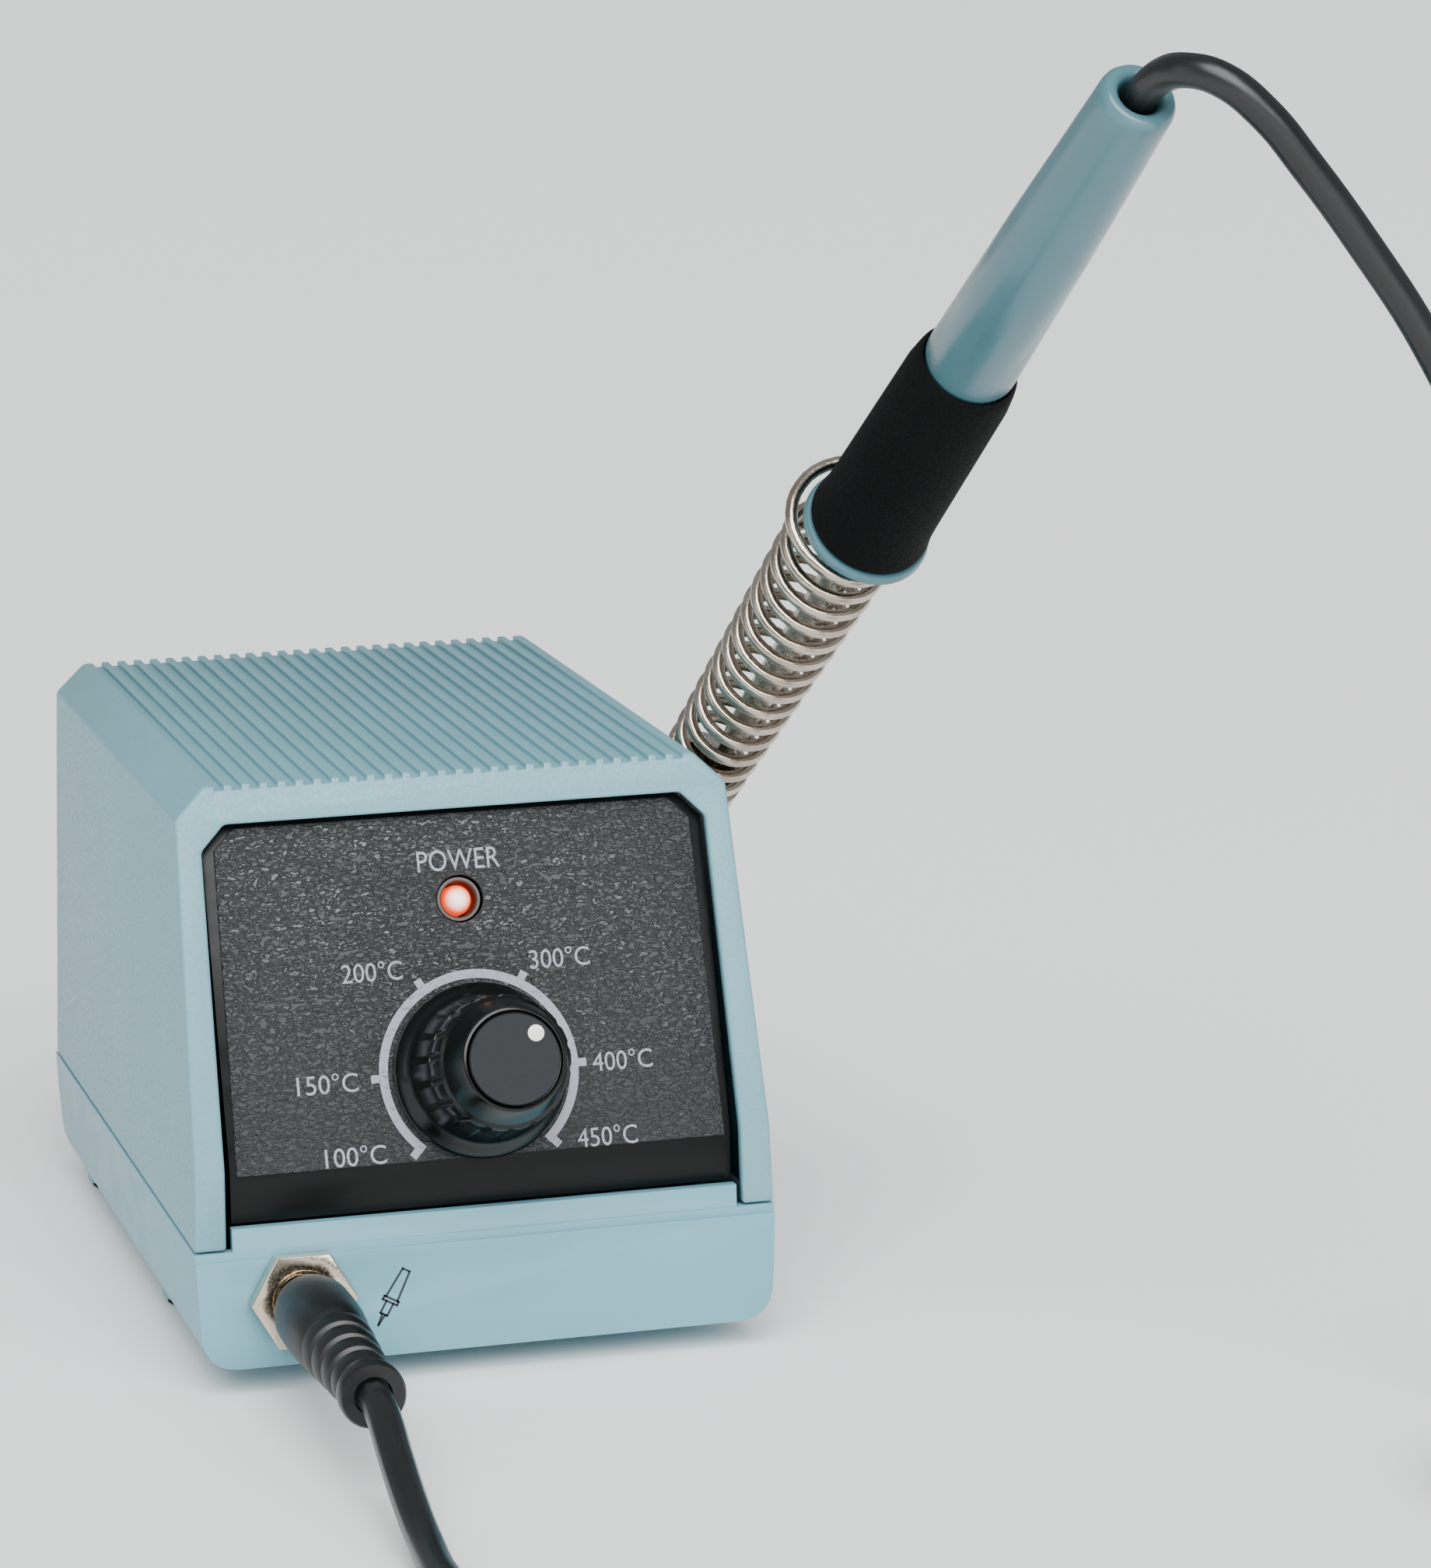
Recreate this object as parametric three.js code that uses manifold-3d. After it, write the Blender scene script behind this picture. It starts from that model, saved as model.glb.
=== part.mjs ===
// Soldering station with a dial control, a spring holder and a corded iron.
// Millimetres, +Z up. X is to the right, Y goes back, and Z = 0 is the tray's underside before the
// whole group is moved onto its origin at the end.
import * as THREE from 'three';
import { mergeVertices } from 'three/addons/utils/BufferGeometryUtils.js';
import Module from 'manifold-3d';

const wasm = await Module();
wasm.setup();

// ---- driving dimensions -------------------------------------------------------------------------
const GAP = 0.3;                       // clearance between pieces that touch
const WALL = 2.2;                      // moulded wall thickness

const HALF_WIDTH = 46;                 // half width at the seam
const HEIGHT = 87.8;                   // top of the housing
const SEAM = 18.5;                     // height of the joint between tray and shell
const KINK = 31;                       // height where the front starts to lean back
const LEAN = 17.5;                     // how far back the top front edge stands
const BACK = 134;                      // rear wall at the top
const SIDE_DRAFT = 0.034;              // inward slope of the shell walls
const TOP_CHAMFER = 4.7;
const GROOVES = 27;
const GROOVE_PITCH = 2.81;
const GROOVE_DEPTH = 0.8;

const OPENING_HALF = 40;               // half width of the front opening
const OPENING_TOP = 81.9;              // height of the opening's top edge
const OPENING_CHAMFER = 3.8;
const PANEL_SET_BACK = 2.4;            // panel face behind the rails
const PANEL_THICK = 2;
const LIP_TOP = 22;                    // top of the tray's raised front lip
const FACE_PROUD = 0.6;                // tray front below the ledge stands this far forward
const LEDGE = 17.2;

const TRAY_ROUND = 6.4;                // rounding under the tray
const FOOT_X = 37;
const FOOT_FRONT_Y = 55;
const FOOT_BACK_Y = 131;
const BOSS_RADIUS = 5.2;
const BOSS_DROP = 3.4;
const FOOT_DROP = 4.6;                 // table below the tray's underside

const DIAL_HEIGHT = 42.3;              // height of the dial centre on the panel
const DIAL_X = 0.55;
const KNOB_RADIUS = 13.7;
const KNOB_LENGTH = 25.6;              // floor of the recess that holds the face disc
const KNOB_FACE_RADIUS = 7;
const DOT_ANGLE = 45;                  // rest direction of the white dot, degrees from +X
const DOT_OFFSET = 5.1;
const LED_UP = 26.9;                   // lamp above the dial centre, along the panel
const LED_RADIUS = 2.4;
const LED_HOLE_RADIUS = 3.6;

const JACK_X = -29.8;
const JACK_Z = 10.7;
const NUT_FLATS = 14.5;
const PLUG_LENGTH = 52;

const CORD_RADIUS = 2.6;
const COIL_X = 150;
const COIL_Y = -118;
const COIL_RADIUS = 29;
const TABLE = -FOOT_DROP;

const FLANGE_AT = new THREE.Vector3(66, 12.5, 122.05);
const IRON_AXIS = new THREE.Vector3(0.1401, -0.7533, 0.6432).normalize();
const SPRING_AXIS = new THREE.Vector3(0.144, -0.742, 0.655).normalize();
const MOUTH_AT = new THREE.Vector3(63.2, 13.45, 121.5);
const WIRE_RADIUS = 1.1;
const SPRING_TURNS = 13.5;
const SPRING_LENGTH = 69;
const SPRING_FOOT_RADIUS = 6.5;        // to the middle of the wire
const SPRING_MOUTH_RADIUS = 8.35;
const MOUTH_ANGLE = 225;               // where the last full turn ends, degrees round the axis
const LOOP_ANGLE = 150;                // the wire's end then rises round the back of the flange
const LOOP_RISE = 4.2;
const LOOP_RADIUS = 11.9;

const HANDLE_LENGTH = 114;
const GRIP_END = 46.5;
const GRIP_RADIUS = 9.75;
const FLANGE_RADIUS = 10.3;
const BARREL_RADIUS = 2.5;
const BARREL_LENGTH = 52;

// ---- materials ----------------------------------------------------------------------------------
function look(color, roughness, metalness = 0) {
  return new THREE.MeshStandardMaterial({ color, roughness, metalness });
}
const caseBlue = look(0x9abbc3, 0.55);
const trayBlue = look(0x8fb3bd, 0.5);
const handleBlue = look(0x7fa7af, 0.35);
const panelGrey = look(0x3a3d40, 0.75);
const glossBlack = look(0x101314, 0.25);
const faceGrey = look(0x3c4045, 0.6);
const white = look(0xe9e7e0, 0.5);
const lampOrange = look(0xf57b4a, 0.3);
const nickel = look(0xb9aea4, 0.25, 1);
const steel = look(0x9c9a98, 0.3, 1);
const copper = look(0xb87348, 0.35, 1);
const zinc = look(0xa9adaf, 0.4, 1);
const gripFoam = look(0x0d1112, 0.9);
const cordBlack = look(0x151515, 0.45);
const rubber = look(0x1b1b1b, 0.85);
const boardGreen = look(0x2c5a3c, 0.5);
const coreGrey = look(0x55585c, 0.5, 0.6);
const bobbinCream = look(0xd9c98c, 0.5);
const sleeveBlue = look(0x2a3c66, 0.4);

// ---- geometry helpers ---------------------------------------------------------------------------
function toSolid(geometry) {
  const bare = geometry.clone();
  bare.deleteAttribute('normal');
  bare.deleteAttribute('uv');
  const welded = mergeVertices(bare, 1e-4);
  const vertProperties = Float32Array.from(welded.attributes.position.array);
  const triVerts = Uint32Array.from(welded.index.array);
  return new wasm.Manifold(new wasm.Mesh({ numProp: 3, vertProperties, triVerts }));
}

function toGeometry(solid) {
  const { vertProperties, triVerts } = solid.getMesh();
  const geometry = new THREE.BufferGeometry();
  geometry.setAttribute('position', new THREE.BufferAttribute(vertProperties, 3));
  geometry.setIndex(new THREE.BufferAttribute(triVerts, 1));
  geometry.computeVertexNormals();
  return geometry;
}

// A closed outline pushed through a depth. The outline's two directions are named by plane:
// 'xy' goes up, 'xz' goes back and 'yz' goes to the right.
function extrude(points, start, end, plane = 'xy', curveSegments = 6) {
  const shape = points instanceof THREE.Shape ? points : new THREE.Shape(points.map((p) => new THREE.Vector2(...p)));
  const geometry = new THREE.ExtrudeGeometry(shape, {
    depth: end - start,
    bevelEnabled: false,
    curveSegments,
  });
  geometry.translate(0, 0, plane === 'xz' ? -end : start);
  if (plane === 'xz') geometry.rotateX(Math.PI / 2);
  if (plane === 'yz') geometry.applyMatrix4(new THREE.Matrix4().set(0, 0, 1, 0, 1, 0, 0, 0, 0, 1, 0, 0, 0, 0, 0, 1));
  return geometry;
}

function cylinder(radius, start, end, sides = 24, topRadius = radius) {
  const geometry = new THREE.CylinderGeometry(topRadius, radius, end - start, sides);
  geometry.rotateX(Math.PI / 2);
  geometry.translate(0, 0, (start + end) / 2);
  return geometry;
}

function box(x0, x1, y0, y1, z0, z1) {
  const geometry = new THREE.BoxGeometry(x1 - x0, y1 - y0, z1 - z0);
  geometry.translate((x0 + x1) / 2, (y0 + y1) / 2, (z0 + z1) / 2);
  return geometry;
}

// A turned piece. The profile is a list of [radius, z] and closes on itself or on the axis.
function turned(profile, sides = 24) {
  const points = profile.map(([radius, z]) => new THREE.Vector2(radius, z));
  if (THREE.ShapeUtils.area(points) < 0) points.reverse();
  const geometry = new THREE.LatheGeometry(points, sides);
  geometry.rotateX(Math.PI / 2);
  return geometry;
}

function ring(inner, outer, start, end, sides = 24) {
  return turned([[inner, start], [outer, start], [outer, end], [inner, end], [inner, start]], sides);
}

function hexNut(flats, bore, start, end) {
  const block = toSolid(cylinder(flats / Math.sqrt(3), start, end, 6).rotateZ(Math.PI / 2));
  return toGeometry(block.subtract(toSolid(cylinder(bore, start - 1, end + 1))));
}

function tube(curve, radius, steps, sides = 8) {
  const section = new THREE.Shape();
  for (let i = 0; i < sides; i += 1) {
    const turn = (2 * Math.PI * i) / sides;
    const corner = [radius * Math.cos(turn), radius * Math.sin(turn)];
    if (i === 0) section.moveTo(...corner);
    else section.lineTo(...corner);
  }
  section.closePath();
  return new THREE.ExtrudeGeometry(section, { steps, extrudePath: curve, bevelEnabled: false });
}

function route(points) {
  return new THREE.CatmullRomCurve3(points.map((p) => new THREE.Vector3(...p)), false, 'centripetal');
}

const station = new THREE.Group();

function add(name, geometry, material, parent = station) {
  const mesh = new THREE.Mesh(geometry, material);
  mesh.name = name;
  parent.add(mesh);
  return mesh;
}

// A group whose own +Z runs along the given direction.
function frameAlong(origin, direction, parent = station) {
  const group = new THREE.Group();
  group.position.copy(origin);
  group.quaternion.setFromUnitVectors(new THREE.Vector3(0, 0, 1), direction);
  parent.add(group);
  return group;
}

// ---- housing ------------------------------------------------------------------------------------
const frontSlope = LEAN / (HEIGHT - KINK);

function halfWidthAt(z) {
  return HALF_WIDTH - SIDE_DRAFT * (z - SEAM);
}

function frontAt(z) {
  return Math.max(0, z - KINK) * frontSlope;
}

function backAt(z) {
  return BACK + SIDE_DRAFT * (HEIGHT - z);
}

// The shell's outer form or, set in by a margin, the space inside it.
function shellForm(margin, bottom) {
  const top = HEIGHT - margin;
  const half = (z) => halfWidthAt(z) - margin;
  const side = TOP_CHAMFER - margin * 0.4;
  const across = [
    [-half(bottom), bottom],
    [half(bottom), bottom],
    [half(top - side), top - side],
    [half(top) - side, top],
    [-half(top) + side, top],
    [-half(top - side), top - side],
  ];
  const along = [
    [frontAt(bottom) + margin, bottom],
    [backAt(bottom) - margin, bottom],
    [backAt(top) - margin, top],
    [frontAt(top) + margin, top],
    [margin, KINK],
  ];
  const front = toSolid(extrude(across, -1, BACK + 20, 'xz'));
  return front.intersect(toSolid(extrude(along, -HALF_WIDTH - 5, HALF_WIDTH + 5, 'yz')));
}

function upperShell() {
  let shell = shellForm(0, SEAM + GAP).subtract(shellForm(WALL, SEAM - 1));
  const corner = OPENING_CHAMFER;
  const opening = [
    [-OPENING_HALF - 1, SEAM - 2],
    [OPENING_HALF + 1, SEAM - 2],
    [OPENING_HALF, OPENING_TOP - corner],
    [OPENING_HALF - corner, OPENING_TOP],
    [-OPENING_HALF + corner, OPENING_TOP],
    [-OPENING_HALF, OPENING_TOP - corner],
  ];
  shell = shell.subtract(toSolid(extrude(opening, -2, 30, 'xz')));
  for (let i = 0; i < GROOVES; i += 1) {
    const x = (i - (GROOVES - 1) / 2) * GROOVE_PITCH;
    const half = GROOVE_PITCH * 0.27;
    shell = shell.subtract(toSolid(box(x - half, x + half, -5, BACK + 10, HEIGHT - GROOVE_DEPTH, HEIGHT + 2)));
  }
  const vents = 9;
  for (let i = 0; i < vents; i += 1) {
    const x = (i - (vents - 1) / 2) * 7;
    shell = shell.subtract(toSolid(box(x - 1.5, x + 1.5, BACK - 10, BACK + 10, 48, 72)));
  }
  return toGeometry(shell);
}

function trayForm(margin, top, front = margin) {
  const half = HALF_WIDTH - margin;
  const round = TRAY_ROUND - margin * 0.6;
  const low = margin;
  const rear = BACK + 3.6 - margin;
  const across = new THREE.Shape();
  across.moveTo(half, top);
  across.lineTo(-half, top);
  across.lineTo(-half + 0.5, low + round);
  across.quadraticCurveTo(-half + 0.6, low, -half + round, low);
  across.lineTo(half - round, low);
  across.quadraticCurveTo(half - 0.6, low, half - 0.5, low + round);
  across.closePath();
  const along = new THREE.Shape();
  along.moveTo(front, top);
  along.lineTo(front, low);
  along.lineTo(rear - 12, low);
  along.quadraticCurveTo(rear - 1, low, rear, low + 12);
  along.lineTo(rear, top);
  along.closePath();
  const body = toSolid(extrude(across, -1, BACK + 20, 'xz'));
  return body.intersect(toSolid(extrude(along, -60, 60, 'yz')));
}

function eachFoot(make) {
  let index = 0;
  for (const y of [FOOT_FRONT_Y, FOOT_BACK_Y]) {
    for (const x of [-FOOT_X, FOOT_X]) {
      index += 1;
      make(x, y, index);
    }
  }
}

function baseTray() {
  let tray = trayForm(0, SEAM).subtract(trayForm(WALL, SEAM + 1));
  const face = toSolid(box(-60, 60, -FACE_PROUD, WALL, -1, LEDGE));
  tray = tray.add(trayForm(0, SEAM, -FACE_PROUD).intersect(face));
  tray = tray.add(toSolid(box(-OPENING_HALF, OPENING_HALF, 0.3, WALL, 16, LIP_TOP)));
  eachFoot((x, y) => {
    tray = tray.add(toSolid(cylinder(BOSS_RADIUS, -BOSS_DROP, WALL + 1).translate(x, y, 0)));
    tray = tray.subtract(toSolid(cylinder(3.4, -BOSS_DROP - 1, -1.2, 16).translate(x, y, 0)));
  });
  const bore = cylinder(4.9, 0, 20).rotateX(Math.PI / 2);
  tray = tray.subtract(toSolid(bore.translate(JACK_X, 10, JACK_Z)));
  const rear = cylinder(5.3, 0, 30).rotateX(Math.PI / 2);
  tray = tray.subtract(toSolid(rear.translate(-24, BACK + 20, 10.5)));
  return toGeometry(tray);
}

function frontPanel() {
  const set = PANEL_SET_BACK + frontSlope * 0.2;
  const low = LIP_TOP + GAP;
  const top = OPENING_TOP - GAP;
  const profile = [
    [frontAt(top) + set, top],
    [set, KINK],
    [set, low],
    [set + PANEL_THICK, low],
    [set + PANEL_THICK, KINK - 0.3],
    [frontAt(top) + set + PANEL_THICK, top],
  ];
  const half = OPENING_HALF - GAP;
  const corner = OPENING_CHAMFER;
  const outline = [
    [-half, low],
    [half, low],
    [half, top - corner],
    [half - corner, top],
    [-half + corner, top],
    [-half, top - corner],
  ];
  let panel = toSolid(extrude(profile, -half, half, 'yz'));
  panel = panel.intersect(toSolid(extrude(outline, -2, 40, 'xz')));
  return panel;
}

// The panel's own frame: x across, y up the panel and z out of it.
function panelFrame() {
  const group = new THREE.Group();
  const tilt = Math.atan(frontSlope);
  group.position.set(0, frontAt(DIAL_HEIGHT) + PANEL_SET_BACK + frontSlope * 0.2, DIAL_HEIGHT);
  group.rotation.x = Math.PI / 2 - tilt;
  group.updateMatrixWorld(true);
  station.add(group);
  return group;
}

function cutAtPanel(panel, frame, geometry) {
  return panel.subtract(toSolid(geometry.applyMatrix4(frame.matrixWorld)));
}

const frame = panelFrame();
let panelSolid = frontPanel();
panelSolid = cutAtPanel(panelSolid, frame, cylinder(3.6, -6, 6).translate(DIAL_X, 0, 0));
panelSolid = cutAtPanel(panelSolid, frame, cylinder(LED_HOLE_RADIUS + GAP, -6, 6).translate(0, LED_UP, 0));
add('upper_shell', upperShell(), caseBlue);
add('base_tray', baseTray(), trayBlue);
add('front_panel', toGeometry(panelSolid), panelGrey);

eachFoot((x, y, index) => {
  const foot = turned([[0, -1.5], [3.1, -1.5], [3.1, -BOSS_DROP - GAP], [4.4, -BOSS_DROP - GAP], [4.4, TABLE], [0, TABLE]], 16);
  add(`rubber_foot_${index}`, foot.translate(x, y, 0), rubber);
});

// ---- lamp, potentiometer and knob ---------------------------------------------------------------
add('led_holder', ring(2.75, LED_HOLE_RADIUS, -5, -0.6), glossBlack, frame).position.y = LED_UP;
const lens = turned([[0, -7], [LED_RADIUS, -7], [LED_RADIUS, -2.6], [1.9, -1.4], [1, -0.8], [0, -0.6]]);
add('led_lens', lens, lampOrange, frame).position.y = LED_UP;

const knobGroup = new THREE.Group();
knobGroup.position.x = DIAL_X;
frame.add(knobGroup);
add('pot_body', cylinder(8, -14, -PANEL_THICK - GAP), zinc, frame).position.x = DIAL_X;
add('pot_nut', hexNut(10, 3.5, GAP, 2.2), nickel, frame).position.x = DIAL_X;
add('pot_shaft', cylinder(3.1, -PANEL_THICK, 14, 16), steel, knobGroup);

function knobForm() {
  const outline = [
    [3.4, 2.6],
    [KNOB_RADIUS, 1],
    [KNOB_RADIUS, 2.8],
    [12.3, 4.5],
    [11.3, 5.6],
    [10.2, 12.2],
    [10.7, 12.8],
    [10.4, 19.4],
    [9.7, 20.2],
    [7.9, KNOB_LENGTH + 0.6],
    [KNOB_FACE_RADIUS + GAP, KNOB_LENGTH + 0.9],
    [KNOB_FACE_RADIUS + GAP, KNOB_LENGTH],
    [0, KNOB_LENGTH],
    [0, 14.4],
    [3.4, 14.4],
    [3.4, 2.6],
  ];
  let knob = toSolid(turned(outline, 36));
  const notches = 18;
  for (let i = 0; i < notches; i += 1) {
    const turn = (2 * Math.PI * (i + 0.5)) / notches;
    const notch = cylinder(0.95, 11.9, 21, 8);
    notch.translate(11, 0, 0).rotateZ(turn);
    knob = knob.subtract(toSolid(notch));
  }
  return toGeometry(knob);
}

function knobFace() {
  const [dotX, dotY] = dotPlace();
  const face = toSolid(cylinder(KNOB_FACE_RADIUS, KNOB_LENGTH + GAP, KNOB_LENGTH + 1.2, 32));
  const seat = toSolid(cylinder(1.5, KNOB_LENGTH + 0.8, KNOB_LENGTH + 2, 12).translate(dotX, dotY, 0));
  return toGeometry(face.subtract(seat));
}

function dotPlace() {
  const turn = THREE.MathUtils.degToRad(DOT_ANGLE);
  return [DOT_OFFSET * Math.cos(turn), DOT_OFFSET * Math.sin(turn)];
}

add('knob', knobForm(), glossBlack, knobGroup);
add('knob_face', knobFace(), faceGrey, knobGroup);
const [dotX, dotY] = dotPlace();
const dot = cylinder(1.2, KNOB_LENGTH + 1.1, KNOB_LENGTH + 1.4, 12);
add('knob_dot', dot.translate(dotX, dotY, 0), white, knobGroup);

// ---- socket and plug ----------------------------------------------------------------------------
const socket = frameAlong(new THREE.Vector3(JACK_X, -0.6, JACK_Z), new THREE.Vector3(0, -1, 0));
add('jack_body', ring(3.6, 4.6, -16, 0.4), zinc, socket);
add('jack_nut', hexNut(NUT_FLATS, 4.9, GAP, 3.3), nickel, socket);
add('plug_barrel', turned([[0, -12], [3.2, -12], [3.2, 3.6], [4.4, 3.6], [4.4, 4.6], [0, 4.6]]), nickel, socket);
const plugProfile = [
  [0, 4.9],
  [4.4, 4.9],
  [5.2, 6],
  [6.2, 9],
  [6.2, 22],
  [5.2, 26],
  [4.2, 27],
  [4.2, 27.6],
  [0, 27.6],
];
add('plug_body', turned(plugProfile), cordBlack, socket);

function strainRelief() {
  const start = 27.9;
  const ribs = 4;
  const pitch = (PLUG_LENGTH - start - 1) / ribs;
  const outline = [[0, start]];
  for (let i = 0; i < ribs; i += 1) {
    const z = start + i * pitch;
    const outer = 5.6 - i * 0.35;
    outline.push([outer, z], [outer, z + pitch * 0.55], [outer - 1.5, z + pitch * 0.6], [outer - 1.5, z + pitch]);
  }
  const last = start + ribs * pitch;
  outline.push([5, last], [5, PLUG_LENGTH + 2], [0, PLUG_LENGTH + 2]);
  return turned(outline);
}
add('plug_relief', strainRelief(), cordBlack, socket);

// ---- inside the housing -------------------------------------------------------------------------
add('circuit_board', box(-34, 34, 24, 26, 34, 70), boardGreen);
add('board_capacitor', cylinder(6, 0, 18, 16).rotateX(Math.PI / 2).translate(20, 44.3, 50), sleeveBlue);
const sinkForm = toSolid(box(-26, -6, 26.3, 42, 40, 64));
const sinkCut = toSolid(box(-24, -8, 28, 43, 39, 65));
add('heat_sink', toGeometry(sinkForm.subtract(sinkCut)), zinc);
const core = toSolid(box(-28, 28, 66, 110, 3, 50));
add('transformer_core', toGeometry(core.subtract(toSolid(box(-19, 19, 60, 116, 12, 41)))), coreGrey);
add('transformer_winding', box(-18.5, 18.5, 60, 116, 12.5, 40.5), bobbinCream);

const gland = frameAlong(new THREE.Vector3(-24, BACK + 3.6, 10.5), new THREE.Vector3(0, 1, 0));
const glandProfile = [[0, -8], [5, -8], [5, 0.3], [7.5, 0.3], [7.5, 3.5], [5.6, 4.5], [5.6, 11], [4.2, 13], [0, 13]];
add('mains_gland', turned(glandProfile), rubber, gland);

// ---- holder on the right side wall --------------------------------------------------------------
function springFrame() {
  return frameAlong(MOUTH_AT, SPRING_AXIS);
}

// The coil turns clockwise as it rises, and its last part opens out behind the flange.
class SpringCurve extends THREE.Curve {
  getPoint(t, target = new THREE.Vector3()) {
    const turned = t * (360 * SPRING_TURNS + LOOP_ANGLE) - 360 * SPRING_TURNS;
    const along = Math.min(0, turned) / (360 * SPRING_TURNS);
    const past = Math.max(0, turned) / LOOP_ANGLE;
    const coil = THREE.MathUtils.lerp(SPRING_MOUTH_RADIUS, SPRING_FOOT_RADIUS, -along);
    const radius = THREE.MathUtils.lerp(coil, LOOP_RADIUS, past ** 1.3);
    const angle = THREE.MathUtils.degToRad(MOUTH_ANGLE - turned);
    const height = SPRING_LENGTH * along + LOOP_RISE * (0.55 * past + 0.45 * past ** 2);
    return target.set(radius * Math.cos(angle), radius * Math.sin(angle), height);
  }
}

const spring = springFrame();
const springSteps = Math.round((SPRING_TURNS + LOOP_ANGLE / 360) * 14);
add('holder_spring', tube(new SpringCurve(), WIRE_RADIUS, springSteps, 6), nickel, spring);

const plateLow = 40;
const plateHigh = 69;
const plateCentreY = 79;

function holderBracket() {
  const low = -SPRING_LENGTH - 19;
  const top = -SPRING_LENGTH - WIRE_RADIUS - GAP;
  spring.updateMatrixWorld(true);
  const post = toSolid(cylinder(7.4, low, top).applyMatrix4(spring.matrixWorld));
  const hollow = toSolid(cylinder(5.2, low + 3, 10).applyMatrix4(spring.matrixWorld));
  const wall = GAP;
  const plate = [
    [halfWidthAt(plateLow) + wall, plateLow],
    [halfWidthAt(plateLow) + wall + 2.4, plateLow],
    [halfWidthAt(plateHigh) + wall + 2.4, plateHigh],
    [halfWidthAt(plateHigh) + wall, plateHigh],
  ];
  const behind = [
    [-10, 0],
    [halfWidthAt(0) + wall, 0],
    [halfWidthAt(100) + wall, 100],
    [-10, 100],
  ];
  let bracket = toSolid(extrude(plate, plateCentreY - 15, plateCentreY + 15, 'xz')).add(post);
  bracket = bracket.subtract(toSolid(extrude(behind, -20, 180, 'xz')));
  return toGeometry(bracket.subtract(hollow));
}
add('holder_bracket', holderBracket(), nickel);

for (const [index, y] of [plateCentreY - 10, plateCentreY + 10].entries()) {
  const z = plateLow + 6;
  const head = frameAlong(new THREE.Vector3(halfWidthAt(z) + GAP + 2.4, y, z), new THREE.Vector3(1, 0, 0));
  add(`holder_screw_${index + 1}`, turned([[0, GAP], [3.4, GAP], [3.2, 1.6], [2, 2.4], [0, 2.4]], 16), zinc, head);
}

// ---- iron ---------------------------------------------------------------------------------------
const iron = frameAlong(FLANGE_AT, IRON_AXIS);
add('iron_flange', ring(6.4, FLANGE_RADIUS, 0, 2, 32), handleBlue, iron);
const gripProfile = [
  [6.6, 2 + GAP],
  [GRIP_RADIUS, 2 + GAP],
  [GRIP_RADIUS, 3.5],
  [GRIP_RADIUS - 0.45, 6],
  [GRIP_RADIUS - 1.15, GRIP_END - 5.5],
  [GRIP_RADIUS - 1.55, GRIP_END - 1.6],
  [GRIP_RADIUS - 2, GRIP_END],
  [6.6, GRIP_END - 4],
  [6.6, 2 + GAP],
];
add('iron_grip', turned(gripProfile, 28), gripFoam, iron);
const handleProfile = [
  [0, -1],
  [6.1, -1],
  [6.1, GRIP_END - 5],
  [7.35, GRIP_END + GAP],
  [6.75, 80],
  [5.85, HANDLE_LENGTH - 4],
  [5.85, HANDLE_LENGTH - 1.4],
  [5.4, HANDLE_LENGTH - 0.4],
  [4.8, HANDLE_LENGTH],
  [3.4, HANDLE_LENGTH],
  [3, HANDLE_LENGTH - 1],
  [3, HANDLE_LENGTH - 14],
  [0, HANDLE_LENGTH - 14],
];
add('iron_handle', turned(handleProfile, 28), handleBlue, iron);
add('iron_collar', ring(BARREL_RADIUS + GAP, 4.1, -6, -1 - GAP), steel, iron);
add('iron_barrel', ring(BARREL_RADIUS - 0.6, BARREL_RADIUS, -BARREL_LENGTH, -1 - GAP, 20), steel, iron);
const heaterTop = -4;
add('iron_heater', cylinder(BARREL_RADIUS - 0.9, -BARREL_LENGTH + 14, heaterTop, 12), copper, iron);
const shank = BARREL_RADIUS - 0.9;
const tipProfile = [
  [0, -BARREL_LENGTH + 13],
  [shank, -BARREL_LENGTH + 13],
  [shank, -BARREL_LENGTH - GAP],
  [2.2, -BARREL_LENGTH - GAP],
  [2.2, -BARREL_LENGTH - 8],
  [1.4, -BARREL_LENGTH - 14],
  [0.3, -BARREL_LENGTH - 22],
  [0, -BARREL_LENGTH - 22],
];
add('iron_tip', turned(tipProfile, 16), copper, iron);

// ---- cord ---------------------------------------------------------------------------------------
const cordRest = TABLE + CORD_RADIUS;
const ironEnd = FLANGE_AT.clone().addScaledVector(IRON_AXIS, HANDLE_LENGTH - 13.7);
const fromIron = [
  ironEnd.toArray(),
  [81.8, -72.2, 194.3],
  [83.4, -77.8, 198],
  [85.7, -82.4, 199.0],
  [89.5, -85.6, 197.8],
  [95.2, -87.2, 193],
  [101.4, -87.2, 185.6],
  [109.8, -86.8, 174.6],
  [120, -86.2, 159.6],
  [127.8, -85.4, 144],
  [133.4, -85, 124],
  [137, -84.8, 100],
  [139.5, -85.2, 76],
  [141.6, -86, 54],
  [143.8, -86.6, 36],
  [146.8, -86.6, 22],
  [150.4, -86.6, 13.4],
  [153.4, -86.9, 9.3],
];
add('cord_iron', tube(route(fromIron), CORD_RADIUS, 44), cordBlack);
const coilWidth = 2 * CORD_RADIUS;
const coilTop = TABLE + 4 * CORD_RADIUS;
const coil = ring(COIL_RADIUS - coilWidth, COIL_RADIUS + coilWidth, TABLE, coilTop, 32);
add('cord_coil', coil.translate(COIL_X, COIL_Y, 0), cordBlack);
const plugTip = -0.6 - PLUG_LENGTH - 2 - GAP;
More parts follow.
